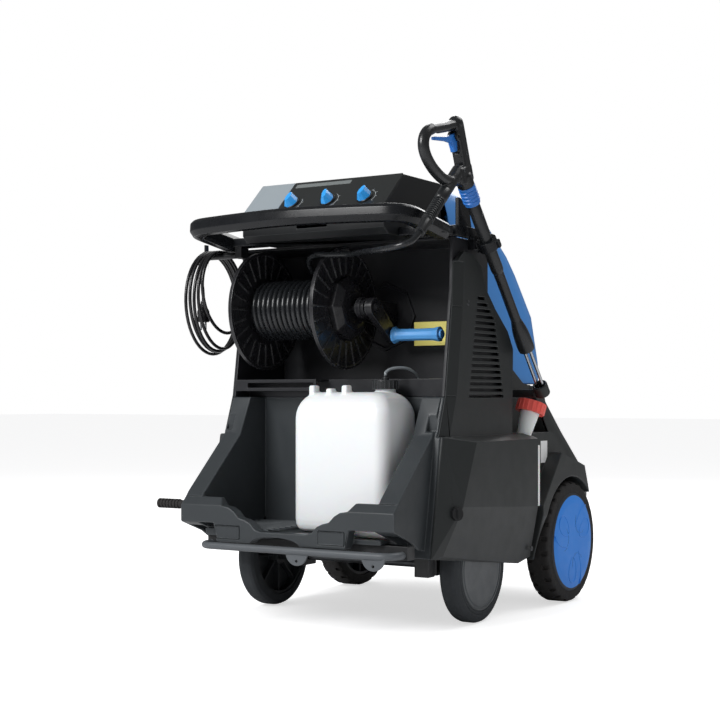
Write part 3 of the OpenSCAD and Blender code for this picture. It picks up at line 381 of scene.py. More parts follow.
black_rubber = finish("black_rubber", (32, 32, 33), (50, 48, 47), 0.78, spread=0.15, grain=240, depth=0.0003,
                      blotches=30, wear=0.4, worn=(96, 92, 88), Specular_IOR_Level=0.3)
blue_disc = finish("blue_disc", (42, 130, 226), (50, 140, 236), 0.45, spread=0.1, grain=500, depth=0.00005,
                   wear=0.2, worn=(150, 196, 246), Specular_IOR_Level=0.3)
dark_disc = finish("dark_disc", (30, 34, 40), (40, 44, 50), 0.55, grain=500, wear=0.2)
for name in ("rear_tyre_right", "rear_tyre_left"):
    dress(name, name + "_rubber", black_rubber, name.replace("tyre", "wheel"), "black_tyre", 0.0013, over=28,
          smooth=35)
cad_line_height, line_thickness = 0.0013, 0.0025
for name, side in two_sided("rear_rim"):
    disc = copy_of(name, name + "_disc")
    face_x = side * max(side * point.co.x for point in disc.data.vertices) - side * cad_line_height
    open_whole(disc)
    bpy.ops.mesh.bisect(plane_co=(face_x, 0, 0), plane_no=(side, 0, 0), use_fill=True, clear_outer=True)
    bpy.ops.object.mode_set(mode="OBJECT")
    round_edges(disc, 0.0006, over=35)
    cover = turned(name + "_cover", [
        (0, 0), (0.06, 0), (0.0975, -0.0002), (0.1145, -0.002), (0.1175, -0.003), (0.1205, -0.0046),
        (0.1205, -0.008), (0, -0.008)],
        (face_x + side * 0.0003, rear_y, rear_z), (side, 0, 0), steps=128, soft=0.0008, smooth=40)
    lines = []
    for k in range(3):
        turn = math.radians(120 * k + 24)
        egg = [(0.07 + 0.032 * math.cos(a), (0.0215 + 0.006 * math.cos(a)) * math.sin(a))
               for a in (math.radians(7.5 * i) for i in range(49))]
        arc = [(0.022 + 0.0055 * i, 0.03 + 0.023 * math.sin(i / 15 * 2.2)) for i in range(16)]
        for points in (egg, arc):
            lines.append(solid(lay_cord("raised_line", [
                (face_x, rear_y + u * math.cos(turn) - v * math.sin(turn),
                 rear_z + u * math.sin(turn) + v * math.cos(turn)) for u, v in points], line_thickness)))
    blue_parts = [painted(part, blue_disc) for part in (cover, *lines)]
    disc = joined(name + "_disc", [painted(disc, dark_disc), *blue_parts])
    fit(disc, name.replace("rim", "wheel"), "blue_moulding", name)

# ---- Front tray ----
# One big polyethylene moulding that holds the canister: a dipped front rim, two slanted arms, a
# low floor with a ribbed step, and posts that run up to the reel. It is dark grey with a fine grain.
moulded = {"grain": 800, "depth": 0.00005, "blotches": 5, "Specular_IOR_Level": 0.35}
tray_plastic = finish("tray_plastic", (48, 52, 55), (58, 62, 65), 0.42, wear=0.6, worn=(120, 125, 128),
                      edge=0.003, **moulded)
dress("front_tray", "tray_moulding", tray_plastic, "machine", "dark_moulding", 0.003, flat_angle=0, segments=3,
      over=25)

# ---- Recess round the reel ----
# A dark moulded box without a front, with a ribbed shelf at its foot and an eight-sided frame and a
# blank yellow plate on its back wall. It is screwed to the frame behind the tray.
deep_plastic = finish("deep_plastic", (30, 31, 34), (40, 41, 45), 0.42, spread=0.15, wear=0.45,
                      worn=(90, 92, 95), Specular_IOR_Level=0.35)
dress("reel_recess", "recess_moulding", deep_plastic, "machine", "dark_moulding", 0.0016, over=25)


def slab(name, low, high, round_by, segments=2):
    """A block between two corners with rounded edges."""
    middle = [(a + b) / 2 for a, b in zip(low, high)]
    bpy.ops.mesh.primitive_cube_add(size=1, location=middle, scale=[b - a for a, b in zip(low, high)])
    return round_edges(as_made(name), round_by, segments)


# The plate's film glows faintly though it is no lamp: a painted glow that keeps it light in the recess's shade.
yellow_film_with_painted_glow = finish("yellow_film_with_painted_glow", (250, 236, 130), (252, 240, 142), 0.35, grain=200, depth=0.00003, wear=0.1,
                     worn=(252, 244, 200), Emission_Color=rgb(250, 236, 130), Emission_Strength=0.18)
plate = slab("yellow_plate", (0.097, -0.1189, 0.633), (0.185, -0.1178, 0.689), 0.0004)
fit(painted(plate, yellow_film_with_painted_glow), "machine", "light_panel")

# ---- Side covers and latches ----
# Two tall moulded covers close the machine's sides. Each has a slotted plate over the blower's air
# inlet and a faceted skirt over the front wheel, held by a quarter-turn latch.
skirt_plastic = finish("skirt_plastic", (37, 40, 40), (44, 47, 48), 0.44, spread=0.06, wear=0.5,
                       worn=(104, 108, 110), edge=0.002, **moulded)
for name in ("side_cover_right", "side_cover_left"):
    dress(name, name + "_moulding", skirt_plastic, "machine", "dark_moulding", 0.0012, over=12, smooth=8)
latch_plastic = finish("latch_plastic", (20, 21, 23), (30, 31, 33), 0.36, grain=500, depth=0.00004, wear=0.4)
for name in ("latch_right", "latch_left"):
    dress(name, name + "_knob", latch_plastic, name, "black_plastic", 0.0007, over=35)

# ---- Rear body and hood ----
# The rear body is a deep dark moulding with wheel arches and side pockets, bolted to the frame. The
# blue hood stands on it, hinged at the back, and covers the boiler.
dark_plastic = finish("dark_plastic", (38, 41, 41), (46, 49, 49), 0.44, spread=0.06, wear=0.5,
                      worn=(104, 108, 110), edge=0.002, **moulded)
dress("rear_body", "rear_moulding", dark_plastic, "machine", "dark_moulding", 0.0022, over=22, smooth=19)
blue_plastic = finish("blue_plastic", (62, 136, 214), (72, 146, 222), 0.3, spread=0.05, grain=800,
                      depth=0.00004, blotches=4, wear=0.1, worn=(150, 190, 236))
dress("hood", "hood_moulding", blue_plastic, "hood", "blue_moulding", 0.003, segments=3, over=26, smooth=25)

# ---- Console ----
# A moulded case under the hood's front edge carries a slanted control plate with a display strip,
# a lighter corner panel, and three turning knobs. The case and plates are screwed together.
def placed(piece, place):
    """Moves a piece made upright at the origin to its place, and leaves its own origin at zero."""
    alone(piece)
    piece.matrix_world = place
    bpy.ops.object.transform_apply(location=True, rotation=True, scale=True)
    return piece


def on_dial(knob_place, r, angle):
    """The point of a knob's dial at this distance from its middle and this angle round it."""
    angle = math.radians(angle)
    return tuple(knob_place @ Vector((r * math.cos(angle), r * math.sin(angle), -0.0006)))


case_plastic = finish("case_plastic", (18, 20, 22), (25, 27, 29), 0.4, spread=0.05, wear=0.5,
                      worn=(92, 96, 98), edge=0.002, **moulded)
case = round_edges(copy_of("console_housing", "console_case"), 0.002, over=16, smooth=12)
seal = slab("seal", (-0.184, -0.284, 0.8595), (0.184, -0.276, 0.868), 0.001)
case = painted(joined("console_case", [case, seal]), case_plastic)
fit(case, "machine", "dark_moulding", "console_housing")
plate_plastic = finish("plate_plastic", (36, 38, 38), (42, 44, 44), 0.36, spread=0.04, depth=0.00003, wear=0.4,
                       worn=(110, 112, 112), Specular_IOR_Level=0.4)
dress("console_fascia", "control_plate", plate_plastic, "machine", "black_plastic", 0.0008)
grey_panel = finish("grey_panel", (146, 155, 161), (151, 160, 166), 0.34, spread=0.04, depth=0.00002, wear=0)
dress("console_corner_panel", "corner_panel", grey_panel, "machine", "light_panel", 0.0012)
plate_middle, plate_lean = (0, -0.37, 0.9655), 43.25
slope = Matrix.Translation(plate_middle) @ Matrix.Rotation(math.radians(plate_lean), 4, "X")
strip_film = finish("strip_film", (112, 117, 117), (120, 125, 125), 0.3, grain=300, depth=0.00001, wear=0)
strip = placed(slab("display_strip", (-0.0875, 0.0345, 0.0031), (0.0615, 0.0475, 0.0038), 0.0003), slope)
fit(painted(strip, strip_film), "machine", "light_panel")

knob_blue = finish("knob_blue", (40, 158, 242), (56, 168, 248), 0.3, grain=600, depth=0.00003, wear=0.45,
                   worn=(160, 206, 248), edge=0.001)
knob_black = finish("knob_black", (20, 21, 23), (30, 31, 33), 0.4, grain=500, depth=0.00004, wear=0.4)
light_print = finish("light_print", (196, 202, 204), (206, 211, 213), 0.4, grain=300, depth=0.00001, wear=0)
dial_r, tick_end, print_width = 0.0262, 0.031, 0.001
marks = []
for name, x, turn, first, last in (
        ("knob_left", -0.067, 0, -62, 34), ("knob_middle", 0.03, 14, -100, 60),
        ("knob_right", 0.127, -6, -30, 78)):
    at_knob = slope @ Matrix.Translation((x, -0.026, 0.00435))
    ring = turned(name + "_ring", [
        (0, 0), (0.0186, 0), (0.019, 0.0006), (0.019, 0.0026), (0.0178, 0.0034), (0, 0.0034)],
        (0, 0, 0), (0, 0, 1), steps=64, smooth=30)
    bpy.ops.mesh.primitive_cylinder_add(vertices=8, radius=0.0205, depth=0.0185, location=(0, 0, 0.012))
    gem = as_made("gem")
    for point in gem.data.vertices:
        point.select = point.co.z > 0.012
    for edge in gem.data.edges:
        edge.select = all(gem.data.vertices[v].select for v in edge.vertices)
    for face in gem.data.polygons:
        face.select = face.center.z > 0.0205
    bpy.ops.object.mode_set(mode="EDIT")
    bpy.ops.transform.resize(value=(0.34, 0.8, 1), center_override=(0, 0, 0.0212))
    bpy.ops.mesh.select_all(action="SELECT")
    bpy.ops.transform.resize(value=(0.78, 1, 1), center_override=(0, 0, 0))
    bpy.ops.object.mode_set(mode="OBJECT")
    round_edges(gem, 0.0014, segments=3, over=15, smooth=14)
    knob = joined(name + "_grip", [painted(ring, knob_black), painted(gem, knob_blue)])
    fit(placed(knob, at_knob @ Matrix.Rotation(math.radians(turn), 4, "Z")), name, "blue_moulding", name)
    arc = lay_cord(name + "_marks", [on_dial(at_knob, dial_r, a) for a in range(first, last, 4)], print_width)
    ticks = [lay_cord("tick", [on_dial(at_knob, r, a) for r in (dial_r, tick_end)], print_width)
             for a in range(first, last, 32)]
    marks.append(joined(name + "_marks", [solid(line) for line in (arc, *ticks)]))
fit(painted(joined("dial_marks", marks), light_print), "machine", "light_panel")

# ---- Push handle and cable hook ----
# A wide U-shaped bar with a faceted section runs round the console, bolted to brackets at its
# sides. The hook for the mains cable is screwed under its left bracket.
def smooth_route(points, steps):
    """Points of one smooth curve through all the given points."""
    ends = [points[0], *points, points[-1]]
    found = []
    for a, b, c, d in zip(ends, ends[1:], ends[2:], ends[3:]):
        for k in range(steps):
            t = k / steps
            found.append(tuple(0.5 * (2 * q + (r - p) * t + (2 * p - 5 * q + 4 * r - s) * t * t
                                      + (3 * q - p - 3 * r + s) * t ** 3) for p, q, r, s in zip(a, b, c, d)))
    return found + [tuple(points[-1])]


handle_plastic = finish("handle_plastic", (17, 18, 21), (24, 26, 29), 0.27, spread=0.08, grain=600,
                        depth=0.00002, blotches=6, wear=0.25, worn=(112, 116, 118), Specular_IOR_Level=0.32)
handle_half = [(0.28, -0.318), (0.28, -0.349), (0.28, -0.38), (0.28, -0.407), (0.28, -0.43),
               (0.278, -0.455), (0.27, -0.472), (0.256, -0.482), (0.236, -0.488), (0.2, -0.493),
               (0.15, -0.499), (0.1, -0.504), (0.05, -0.508)]
handle_y, handle_z, climb = -0.33, 0.875, 0.15
handle_line = [(x, y, handle_z + (handle_y - y) * climb) for x, y in handle_half]
handle_line += [(0, -0.51, 0.902)] + [(-x, y, z) for x, y, z in reversed(handle_line)]
handle = lay_cord("push_handle_bar", smooth_route(handle_line, 4), 0.04)
section = bpy.data.curves.new("handle_section", "CURVE")
section.dimensions = "2D"
spline = section.splines.new("POLY")
corners = [(0.0195, -0.011), (0.0205, 0.006), (0.012, 0.0185), (-0.012, 0.019), (-0.0195, 0.012),
           (-0.0205, -0.006), (-0.012, -0.0185), (0.01, -0.019)]
spline.points.add(len(corners) - 1)
for spot, (across, up) in zip(spline.points, corners):
    spot.co = (across, up, 0, 1)
spline.use_cyclic_u = True
cutter = bpy.data.objects.new("handle_section", section)
bpy.context.scene.collection.objects.link(cutter)
handle.data.bevel_mode, handle.data.bevel_object = "OBJECT", cutter
handle.data.twist_mode = "Z_UP"
solid(handle)
bpy.data.objects.remove(cutter)
brackets = [slab("bracket", (left, -0.352, 0.866), (right, -0.302, 0.886), 0.003)
            for left, right in ((0.19, 0.3), (-0.3, -0.19))]
handle = joined("push_handle_bar", [round_edges(handle, 0.002, segments=3, over=18, smooth=16), *brackets])
fit(painted(handle, handle_plastic), "machine", "dark_moulding", "push_handle")
dress("cable_hook", "cable_hook_bar", latch_plastic, "machine", "black_plastic", 0.0009, flat_angle=0, over=45)

# ---- Hose reel ----
# Moulded black reel: a drum on a steel shaft between two ribbed flanges, with a faceted cover on
# the right side's hub. It turns in an arm from the back wall and a bracket on the left wall.
reel_y, reel_z = -0.268, 0.717
reel_plastic = finish("reel_plastic", (27, 27, 30), (38, 38, 41), 0.28, spread=0.15, grain=600, depth=0.00005,
                      wear=0.8, worn=(150, 152, 154))
coat(reel_plastic, "reel_supports", "reel_drum")
for name in ("reel_flange_left", "reel_flange_right"):
    dress(name, name + "_disc", reel_plastic, "reel", "black_plastic", 0.0008)
hub_cover = turned("hub_cover_shell", [(0.0106, 0.0002), (0.0755, 0.0002), (0.0755, 0.013), (0.054, 0.0255),
                                       (0.042, 0.0255), (0.038, 0.0215), (0.0106, 0.0215)],
                   (0, reel_y, reel_z), (1, 0, 0), steps=8, closed=True, smooth=10)
round_edges(hub_cover, 0.0022, segments=3, over=15, smooth=12)
fit(painted(hub_cover, reel_plastic), "reel", "black_plastic", "reel_hub_cover")


hose_rubber = finish("hose_rubber", (27, 29, 31), (35, 37, 40), 0.25, spread=0.08, grain=900, depth=0.00003,
                     blotches=30, wear=0)
hose_d, coil_r, first_coil, coils_wide = 0.013, 0.0643, -0.2209, 0.2088
turns, steps_round = 15, 48
winding_line = []
for k in range(turns * steps_round + 1):
    a = math.radians(30 + 360 / steps_round * k)
    winding_line.append((first_coil + coils_wide * k / (turns * steps_round),
                         reel_y + coil_r * math.cos(a), reel_z + coil_r * math.sin(a)))
winding = lay_cord("hose_winding_turns", winding_line, hose_d)
fit(painted(winding, hose_rubber), "reel", "hose_rubber", "hose_winding")

hose_start = [(0.325, -0.4628, 0.8816), (0.325, -0.48, 0.8664)]
hose_run = [
    (0.325, -0.4973, 0.8511), (0.322, -0.512, 0.8385), (0.318, -0.522, 0.83), (0.303, -0.532, 0.823),
    (0.275, -0.53, 0.819), (0.24, -0.51, 0.819), (0.2, -0.48, 0.821), (0.156, -0.44, 0.825),
    (0.092, -0.392, 0.827), (0.061, -0.379, 0.829), (0.011, -0.366, 0.832), (-0.01, -0.359, 0.835),
    (-0.034, -0.347, 0.835), (-0.054, -0.336, 0.83), (-0.066, -0.322, 0.821), (-0.071, -0.306, 0.809),
    (-0.072, -0.29, 0.802)]
over_r = coil_r + 0.0142
hose_over = [(-0.072 - (90 - a) * 0.00007, reel_y + over_r * math.cos(math.radians(a)),
              reel_z + over_r * math.sin(math.radians(a))) for a in range(90, 35, -9)]
hose_line = hose_start + smooth_route(hose_run, 5) + hose_over
spray_hose = painted(lay_cord("spray_hose_run", hose_line, hose_d), hose_rubber)
fit(spray_hose, "machine", "hose_rubber", "spray_hose")

# ---- Crank ----
# A broad moulded arm bolted on the shaft's end, with a turning blue grip on a steel pin. The grip
# has flat sides, a flared collar near the arm and a blue cap that holds it on the pin.
crank_length = 0.1
grip_y, grip_z = reel_y + crank_length * 0.79, reel_z - crank_length * 0.61
along = Vector((0, grip_y - reel_y, grip_z - reel_z)).normalized()
across = Vector((0, -along.z, along.y))
arm_outline = []
for middle, r, first in (((reel_y, reel_z), 0.0228, 90), ((grip_y, grip_z), 0.0165, -90)):
    for a in range(first, first + 181, 20):
        spot = along * r * math.cos(math.radians(a)) + across * r * math.sin(math.radians(a))
        arm_outline.append((0.0655, middle[0] + spot.y, middle[1] + spot.z))
crank = drawn("crank_arm_moulding", arm_outline, closed=True)
open_whole(crank)
bpy.ops.mesh.edge_face_add()
bpy.ops.mesh.extrude_region_move(TRANSFORM_OT_translate={"value": (0.0165, 0, 0)})
bpy.ops.mesh.inset(thickness=0.0045, depth=0.0015)
face_outwards()
round_edges(crank, 0.0012, segments=3, over=25)
boss = turned("crank_boss", [(0.0101, 0), (0.0205, 0), (0.0215, 0.001), (0.0215, 0.005), (0.0101, 0.005)],
              (0.0622, reel_y, reel_z), (1, 0, 0), closed=True)
bolt = turned("crank_bolt", [
    (0, 0), (0.0085, 0), (0.0085, 0.0012), (0.0058, 0.0014), (0.0058, 0.0036), (0.005, 0.0042), (0.003, 0.0042),
    (0.003, 0.002), (0, 0.002)], (0.0815, reel_y, reel_z), (1, 0, 0), steps=24)
pin = turned("crank_pin", [
    (0, 0), (0.005, 0), (0.005, 0.1265), (0.0108, 0.1265), (0.0108, 0.1305), (0.0095, 0.132), (0, 0.132)],
    (0.08, grip_y, grip_z), (1, 0, 0), steps=48)
grip_blue = finish("grip_blue", (90, 168, 240), (102, 178, 246), 0.36, grain=600, depth=0.00004, wear=0.4,
                   worn=(170, 212, 250))
crank = joined("crank_arm_moulding", [painted(crank, reel_plastic), painted(boss, reel_plastic),
                                      painted(bolt, dull_steel), painted(pin, grip_blue)])
fit(crank, "reel", "black_plastic", "crank_arm")
grip = turned("crank_grip_handle", [
    (0.0052, 0), (0.0195, 0), (0.0205, 0.0015), (0.0205, 0.0045), (0.0165, 0.0095), (0.0148, 0.016),
    (0.0142, 0.06), (0.0148, 0.104), (0.0168, 0.115), (0.0176, 0.1185), (0.0176, 0.1225), (0.0166, 0.123),
    (0.0052, 0.123)], (0.083, grip_y, grip_z), (1, 0, 0), steps=10, closed=True, smooth=20)
round_edges(grip, 0.0012, segments=3, over=22, smooth=30)
fit(painted(grip, grip_blue), "crank_grip", "blue_moulding", "crank_grip")

# ---- Gun and lance ----
# The spray gun is a closed loop of black glass-filled nylon with a long blue trigger. A blue collar
# joins it to the grip tube, sleeve and twin steel pipes of the lance, held in a ring on the bracket.
def melted(piece, cell, passes):
    """Turns a hard-edged shape into one even skin with soft corners, as a moulding has."""
    alone(piece)
    skin = piece.modifiers.new("even_skin", "REMESH")
    skin.mode, skin.voxel_size, skin.use_smooth_shade = "VOXEL", cell, True
    bpy.ops.object.modifier_apply(modifier=skin.name)
    soft = piece.modifiers.new("soft_corners", "SMOOTH")
    soft.factor, soft.iterations = 0.5, passes
    bpy.ops.object.modifier_apply(modifier=soft.name)
    bpy.ops.object.shade_smooth()
    return piece


def without(piece, *tools):
    """Takes the tools' shapes out of the piece."""
    for tool in tools:
        alone(piece)
        cut = piece.modifiers.new("opening", "BOOLEAN")
        cut.operation, cut.object = "DIFFERENCE", tool
        bpy.ops.object.modifier_apply(modifier=cut.name)
        bpy.data.objects.remove(tool)


gun_plastic = finish("gun_plastic", (25, 26, 28), (35, 37, 39), 0.3, grain=900, depth=0.00005, blotches=14,
                     wear=0.4, worn=(112, 116, 118), edge=0.002)
gun_lean, lance_lean, screw_r = 22, 41.5, 0.0036
lance_base = Matrix.Translation((0.325, -0.29, 0.973))
at_gun = lance_base @ Matrix.Rotation(math.radians(gun_lean), 4, "X")
at_lance = lance_base @ Matrix.Rotation(math.radians(lance_lean), 4, "X")


def on_lance(name, outline, start=(0, 0, 0), axis=(0, 0, 1), **turning):
    """A round piece made upright about its axis and leaned with the lance, which runs down from the gun."""
    return placed(turned(name, outline, start, axis, **turning), at_lance)


loop_points = [(0, -0.106, 0.1505), (0, -0.128, 0.1495), (0, -0.146, 0.141), (0, -0.155, 0.124),
               (0, -0.152, 0.103), (0, -0.138, 0.079), (0, -0.12, 0.059), (0, -0.098, 0.041),
               (0, -0.07, 0.029), (0, -0.03, 0.022)]
bar_points = [(0, 0.004, 0.134), (0, -0.022, 0.1385), (0, -0.05, 0.141), (0, -0.08, 0.1455),
              (0, -0.112, 0.15)]
guard = solid(lay_cord("guard", smooth_route(loop_points, 6), 0.0245))
bar = solid(lay_cord("bar", smooth_route(bar_points, 6), 0.0225))
bpy.ops.mesh.primitive_uv_sphere_add(radius=0.0195, location=(0, 0.002, 0.1375), scale=(0.82, 1, 0.84))
dome = as_made("dome")
column = slab("column", (-0.0135, -0.015, 0.01), (0.0135, 0.017, 0.138), 0.004)
block = slab("block", (-0.015, -0.0375, 0.0075), (0.015, 0.0175, 0.046), 0.005)
knuckle = turned("knuckle", [
    (0, -0.0125), (0.0105, -0.0125), (0.0115, -0.0115), (0.0115, 0.0115), (0.0105, 0.0125), (0, 0.0125)],
    (0, -0.013, 0.112), (1, 0, 0), steps=32)
for part in (column, knuckle):
    slot = slab("slot", (-0.006, -0.042, 0.075), (0.006, -0.0035, 0.125), 0.001)
    bore = turned("bore", [(0, -0.02), (0.0037, -0.02), (0.0037, 0.02), (0, 0.02)],
                  (0, -0.016, 0.112), (1, 0, 0), steps=24)
    without(part, slot, bore)
without(bar, slab("tip_room", (-0.007, -0.113, 0.12), (0.007, -0.084, 0.1415), 0.001))
gun = placed(joined("gun_moulding", [guard, bar, dome, column, block, knuckle]), at_gun)
neck = on_lance("neck", [(0, 0), (0.0185, 0), (0.019, 0.001), (0.019, 0.026), (0.015, 0.031), (0, 0.031)],
                steps=48)
nipple = on_lance("nipple", [(0, 0.008), (0.014, 0.008), (0.014, 0.0875), (0, 0.0875)],
                  (0, 0, 0.046), (0, -1, 0), steps=48)
gun = painted(melted(joined("gun_moulding", [gun, neck, nipple]), 0.00125, 4), gun_plastic)


def screw(name, place, out, r):
    """A small round screw head with a socket, seated on a face that looks outwards."""
    head = turned(name, [(0, 0.0002), (r * 0.45, 0.0002), (r * 0.45, 0.0012), (r * 0.85, 0.0012), (r, 0.0004),
                         (r, -0.001)], place, out, steps=24)
    return painted(head, dull_steel)


gun_screws = [screw("gun_screw", tuple(at_gun @ Vector(p)), (1, 0, 0), screw_r)
              for p in ((0.0148, 0.008, 0.02), (0.0148, -0.022, 0.038), (0.0133, 0.004, 0.07))]
fit(joined("gun_moulding", [gun, *gun_screws]), "machine", "black_plastic", "gun_body")
trigger_blue = finish("trigger_blue", (40, 112, 200), (50, 126, 214), 0.3, grain=900, depth=0.00004, wear=0.4,
                      worn=(140, 180, 236))
trigger = painted(melted(copy_of("gun_trigger", "gun_trigger_lever"), 0.0011, 4), trigger_blue)
fit(trigger, "gun_trigger", "blue_moulding", "gun_trigger")
ribs = [(r, -0.0405 + 0.0088 * k + d) for k in range(4)
        for r, d in ((0.018, 0), (0.0196, 0.0012), (0.0198, 0.0036), (0.018, 0.0052))]
collar = on_lance("lance_collar_nut", [
    (0.0094, -0.0478), (0.0165, -0.0478), (0.0176, -0.0465), *ribs, (0.0194, -0.0045), (0.0194, -0.0012),
    (0.0186, -0.0004), (0.0094, -0.0004)], closed=True, smooth=35)
fit(painted(collar, trigger_blue), "lance_collar", "blue_moulding", "lance_collar")
grip_tube = on_lance("lance_grip_tube", [
    (0, -0.0488), (0.0138, -0.0488), (0.0144, -0.05), (0.0144, -0.15), (0.0137, -0.151), (0.0137, -0.154),
    (0.0144, -0.155), (0.0144, -0.226), (0.0132, -0.234), (0.012, -0.236), (0.0117, -0.3), (0.012, -0.377),
    (0, -0.377)], smooth=30)
core = on_lance("core", [(0, -0.0485), (0.0088, -0.0485), (0.0088, -0.0002), (0, -0.0002)])
grip_screws = [screw("grip_screw", tuple(at_lance @ Vector((0.0141, 0, z))), (1, 0, 0), screw_r)
               for z in (-0.078, -0.128)]
tubes = [painted(part, gun_plastic) for part in (grip_tube, core)]
fit(joined("lance_grip_tube", [*tubes, *grip_screws]), "machine", "black_plastic", "lance_grip")
lance_end = on_lance("lance_sleeve_end", [
    (0, -0.3773), (0.0125, -0.3773), (0.0138, -0.385), (0.0165, -0.398), (0.0187, -0.414), (0.0197, -0.436),
    (0.02, -0.458), (0.019, -0.4645), (0, -0.4645)], smooth=40)
fit(painted(lance_end, gun_plastic), "machine", "black_plastic", "lance_sleeve")
bright_steel = finish("bright_steel", (178, 182, 186), (198, 201, 204), 0.25, grain=400, depth=0.00002, wear=0,
                      Metallic=1)
coat(bright_steel, "lance_pipes")
dress("lance_holder", "lance_holder_bracket", handle_plastic, "machine", "black_plastic", 0.0018, over=25,
      smooth=16)
rings = [(r, 0.035 + 0.0066 * k + d) for k in range(11)
         for r, d in ((0.0096, 0), (0.013, 0.0008), (0.0134, 0.0024), (0.013, 0.0034), (0.0096, 0.0042))]
sleeve = on_lance("bend_sleeve_ribs", [
    (0.007, 0.0003), (0.0135, 0.0003), (0.0139, 0.0012), (0.0139, 0.03), (0.0125, 0.0325), *rings,
    (0.0112, 0.1095), (0.0108, 0.13), (0.0112, 0.144), (0.0108, 0.1478), (0.007, 0.1478)],
    (0, -0.088, 0.046), (0, -1, 0), closed=True, smooth=40)
sleeve_rubber = finish("sleeve_rubber", (24, 25, 27), (34, 36, 38), 0.34, spread=0.08, grain=900, depth=0.00004,
                       wear=0.9, worn=(118, 121, 124), edge=0.0012)
fit(painted(sleeve, sleeve_rubber), "machine", "black_plastic", "bend_sleeve")

# ---- Canister ----
# A 10-litre blow-moulded container of milky polyethylene standing on the tray, with a black ribbed
# screw cap that lets a thin clear suction hose out at its top. The hose ends in a hole in the shelf.
def rounded(width, depth, r):
    """The outline of a flat shape with round corners, about the middle."""
    return [(x * (width / 2 - r) + r * math.cos(math.radians(first + a)),
             y * (depth / 2 - r) + r * math.sin(math.radians(first + a)), 0)
            for x, y, first in ((1, 1, 0), (-1, 1, 90), (-1, -1, 180), (1, -1, 270)) for a in range(0, 91, 11)]


milky = finish("milky", (232, 235, 237), (238, 240, 242), 0.38, spread=0.1, grain=60, depth=0.0003, blotches=6,
               wear=0, Subsurface_Weight=0.15, Subsurface_Scale=0.02)
wide, deep, inset = 0.244, 0.156, 0.022
canister_x, cap_x, cap_y = 0.075, 0.135, -0.315
canister = drawn("canister_shell", rounded(wide - 2 * inset, deep - 2 * inset, inset), closed=True)
open_whole(canister)
bpy.ops.mesh.edge_face_add()
height = 0
for step, now in ((0.003, 0.012), (0.005, 0.005), (0.008, 0.0015), (0.012, 0), (0.226, 0), (0.012, 0.001),
                  (0.012, 0.004), (0.011, 0.009), (0.009, 0.0155), (0.007, 0.023), (0.005, 0.032),
                  (0.0025, 0.042)):
    bpy.ops.mesh.extrude_region_move(TRANSFORM_OT_translate={"value": (0, 0, step)})
    height += step
    narrower = [(size - 2 * now) / (size - 2 * inset) for size in (wide, deep)]
    bpy.ops.transform.resize(value=(*narrower, 1), center_override=(0, 0, height))
    inset = now
bpy.ops.mesh.select_all(action="DESELECT")
bpy.ops.mesh.select_non_manifold()
bpy.ops.mesh.edge_face_add()
face_outwards()
placed(canister, Matrix.Translation((canister_x, -0.347, 0.21)))
stumps = [slab("stump", (canister_x + x, -0.399, 0.505), (canister_x + x + 0.015, -0.375, top), 0.003)
          for x, top in ((-0.091, 0.538), (-0.046, 0.531), (-0.005, 0.538))]
neck = turned("canister_neck", [(0, 0), (0.0225, 0), (0.0225, 0.054), (0, 0.054)],
              (cap_x, cap_y, 0.49), (0, 0, 1), steps=64)
canister = melted(joined("canister_shell", [canister, *stumps, neck]), 0.0022, 6)
fit(painted(canister, milky), "machine", "natural_plastic", "canister")
cap_black = finish("cap_black", (34, 36, 38), (44, 46, 48), 0.32, grain=500, depth=0.00004, wear=0.6,
                   worn=(130, 134, 136), edge=0.001)
dress("canister_cap", "canister_screw_cap", cap_black, "canister_cap", "black_plastic", 0.0007, over=35)

clear_hose = finish("clear_hose", (120, 126, 130), (140, 146, 150), 0.15, grain=300, depth=0.00002, wear=0)
suction_d = 0.007
suction_line = [(cap_x, cap_y, 0.5603)] + smooth_route([
    (cap_x, cap_y, 0.5663), (0.14, -0.306, 0.5733), (0.15, -0.29, 0.5773), (0.162, -0.268, 0.5763),
    (0.17, -0.248, 0.5683), (0.172, -0.232, 0.5583), (0.172, -0.228, 0.5503), (0.172, -0.228, 0.5443)], 5)
suction_hose = painted(lay_cord("suction_hose_run", suction_line, suction_d), clear_hose)
fit(suction_hose, "machine", "natural_plastic", "suction_hose")

# ---- Side tank ----
# A white tank behind the right cover, with a slanted neck that comes out of the side pocket under a
# red ribbed cap. A level strip of it shows between the cover and the rear body.
tank_white = finish("tank_white", (246, 247, 247), (250, 251, 251), 0.4, grain=80, depth=0.0002, wear=0,
                    Subsurface_Weight=0.2, Subsurface_Scale=0.01)
dress("side_tank", "side_tank_shell", tank_white, "machine", "natural_plastic", 0.0012, over=35)
cap_red = finish("cap_red", (250, 92, 82), (252, 108, 98), 0.34, grain=400, depth=0.00004, wear=0.5,
                 worn=(252, 160, 150))
dress("side_tank_cap", "side_tank_screw_cap", cap_red, "side_tank_cap", "red_plastic", 0.0008, over=35)

# ---- Mains cable with its gland and plug ----
# Rubber cable, 7.8 mm thick, out of a screwed gland on the left wall with a tapered ribbed sleeve. It
# hangs in five loose loops on the hook, and its moulded plug hangs down on the outside of the loops.
mains_rubber = finish("mains_rubber", (24, 24, 26), (33, 33, 35), 0.28, spread=0.1, depth=0.00003, blotches=30,
                      wear=0)
gland = slab("mains_gland", (-0.3138, -0.1998, 0.8362), (-0.2868, -0.1722, 0.8598), 0.003, segments=3)
relief_ribs = [(r - 0.00055 * k, 0.0042 + 0.0044 * k + d) for k in range(6)
               for r, d in ((0.0062, 0), (0.0078, 0.0007), (0.0078, 0.0026), (0.0062, 0.0033))]
relief = turned("mains_strain_relief", [
    (0.004, -0.004), (0.0092, -0.004), (0.0092, 0.002), (0.008, 0.003), *relief_ribs, (0.005, 0.031),
    (0.0046, 0.0335), (0.004, 0.0335)], (-0.307, -0.199, 0.848), (0, -1, 0), steps=48, closed=True, smooth=40)
gland = painted(joined("mains_gland", [gland, relief]), mains_rubber)
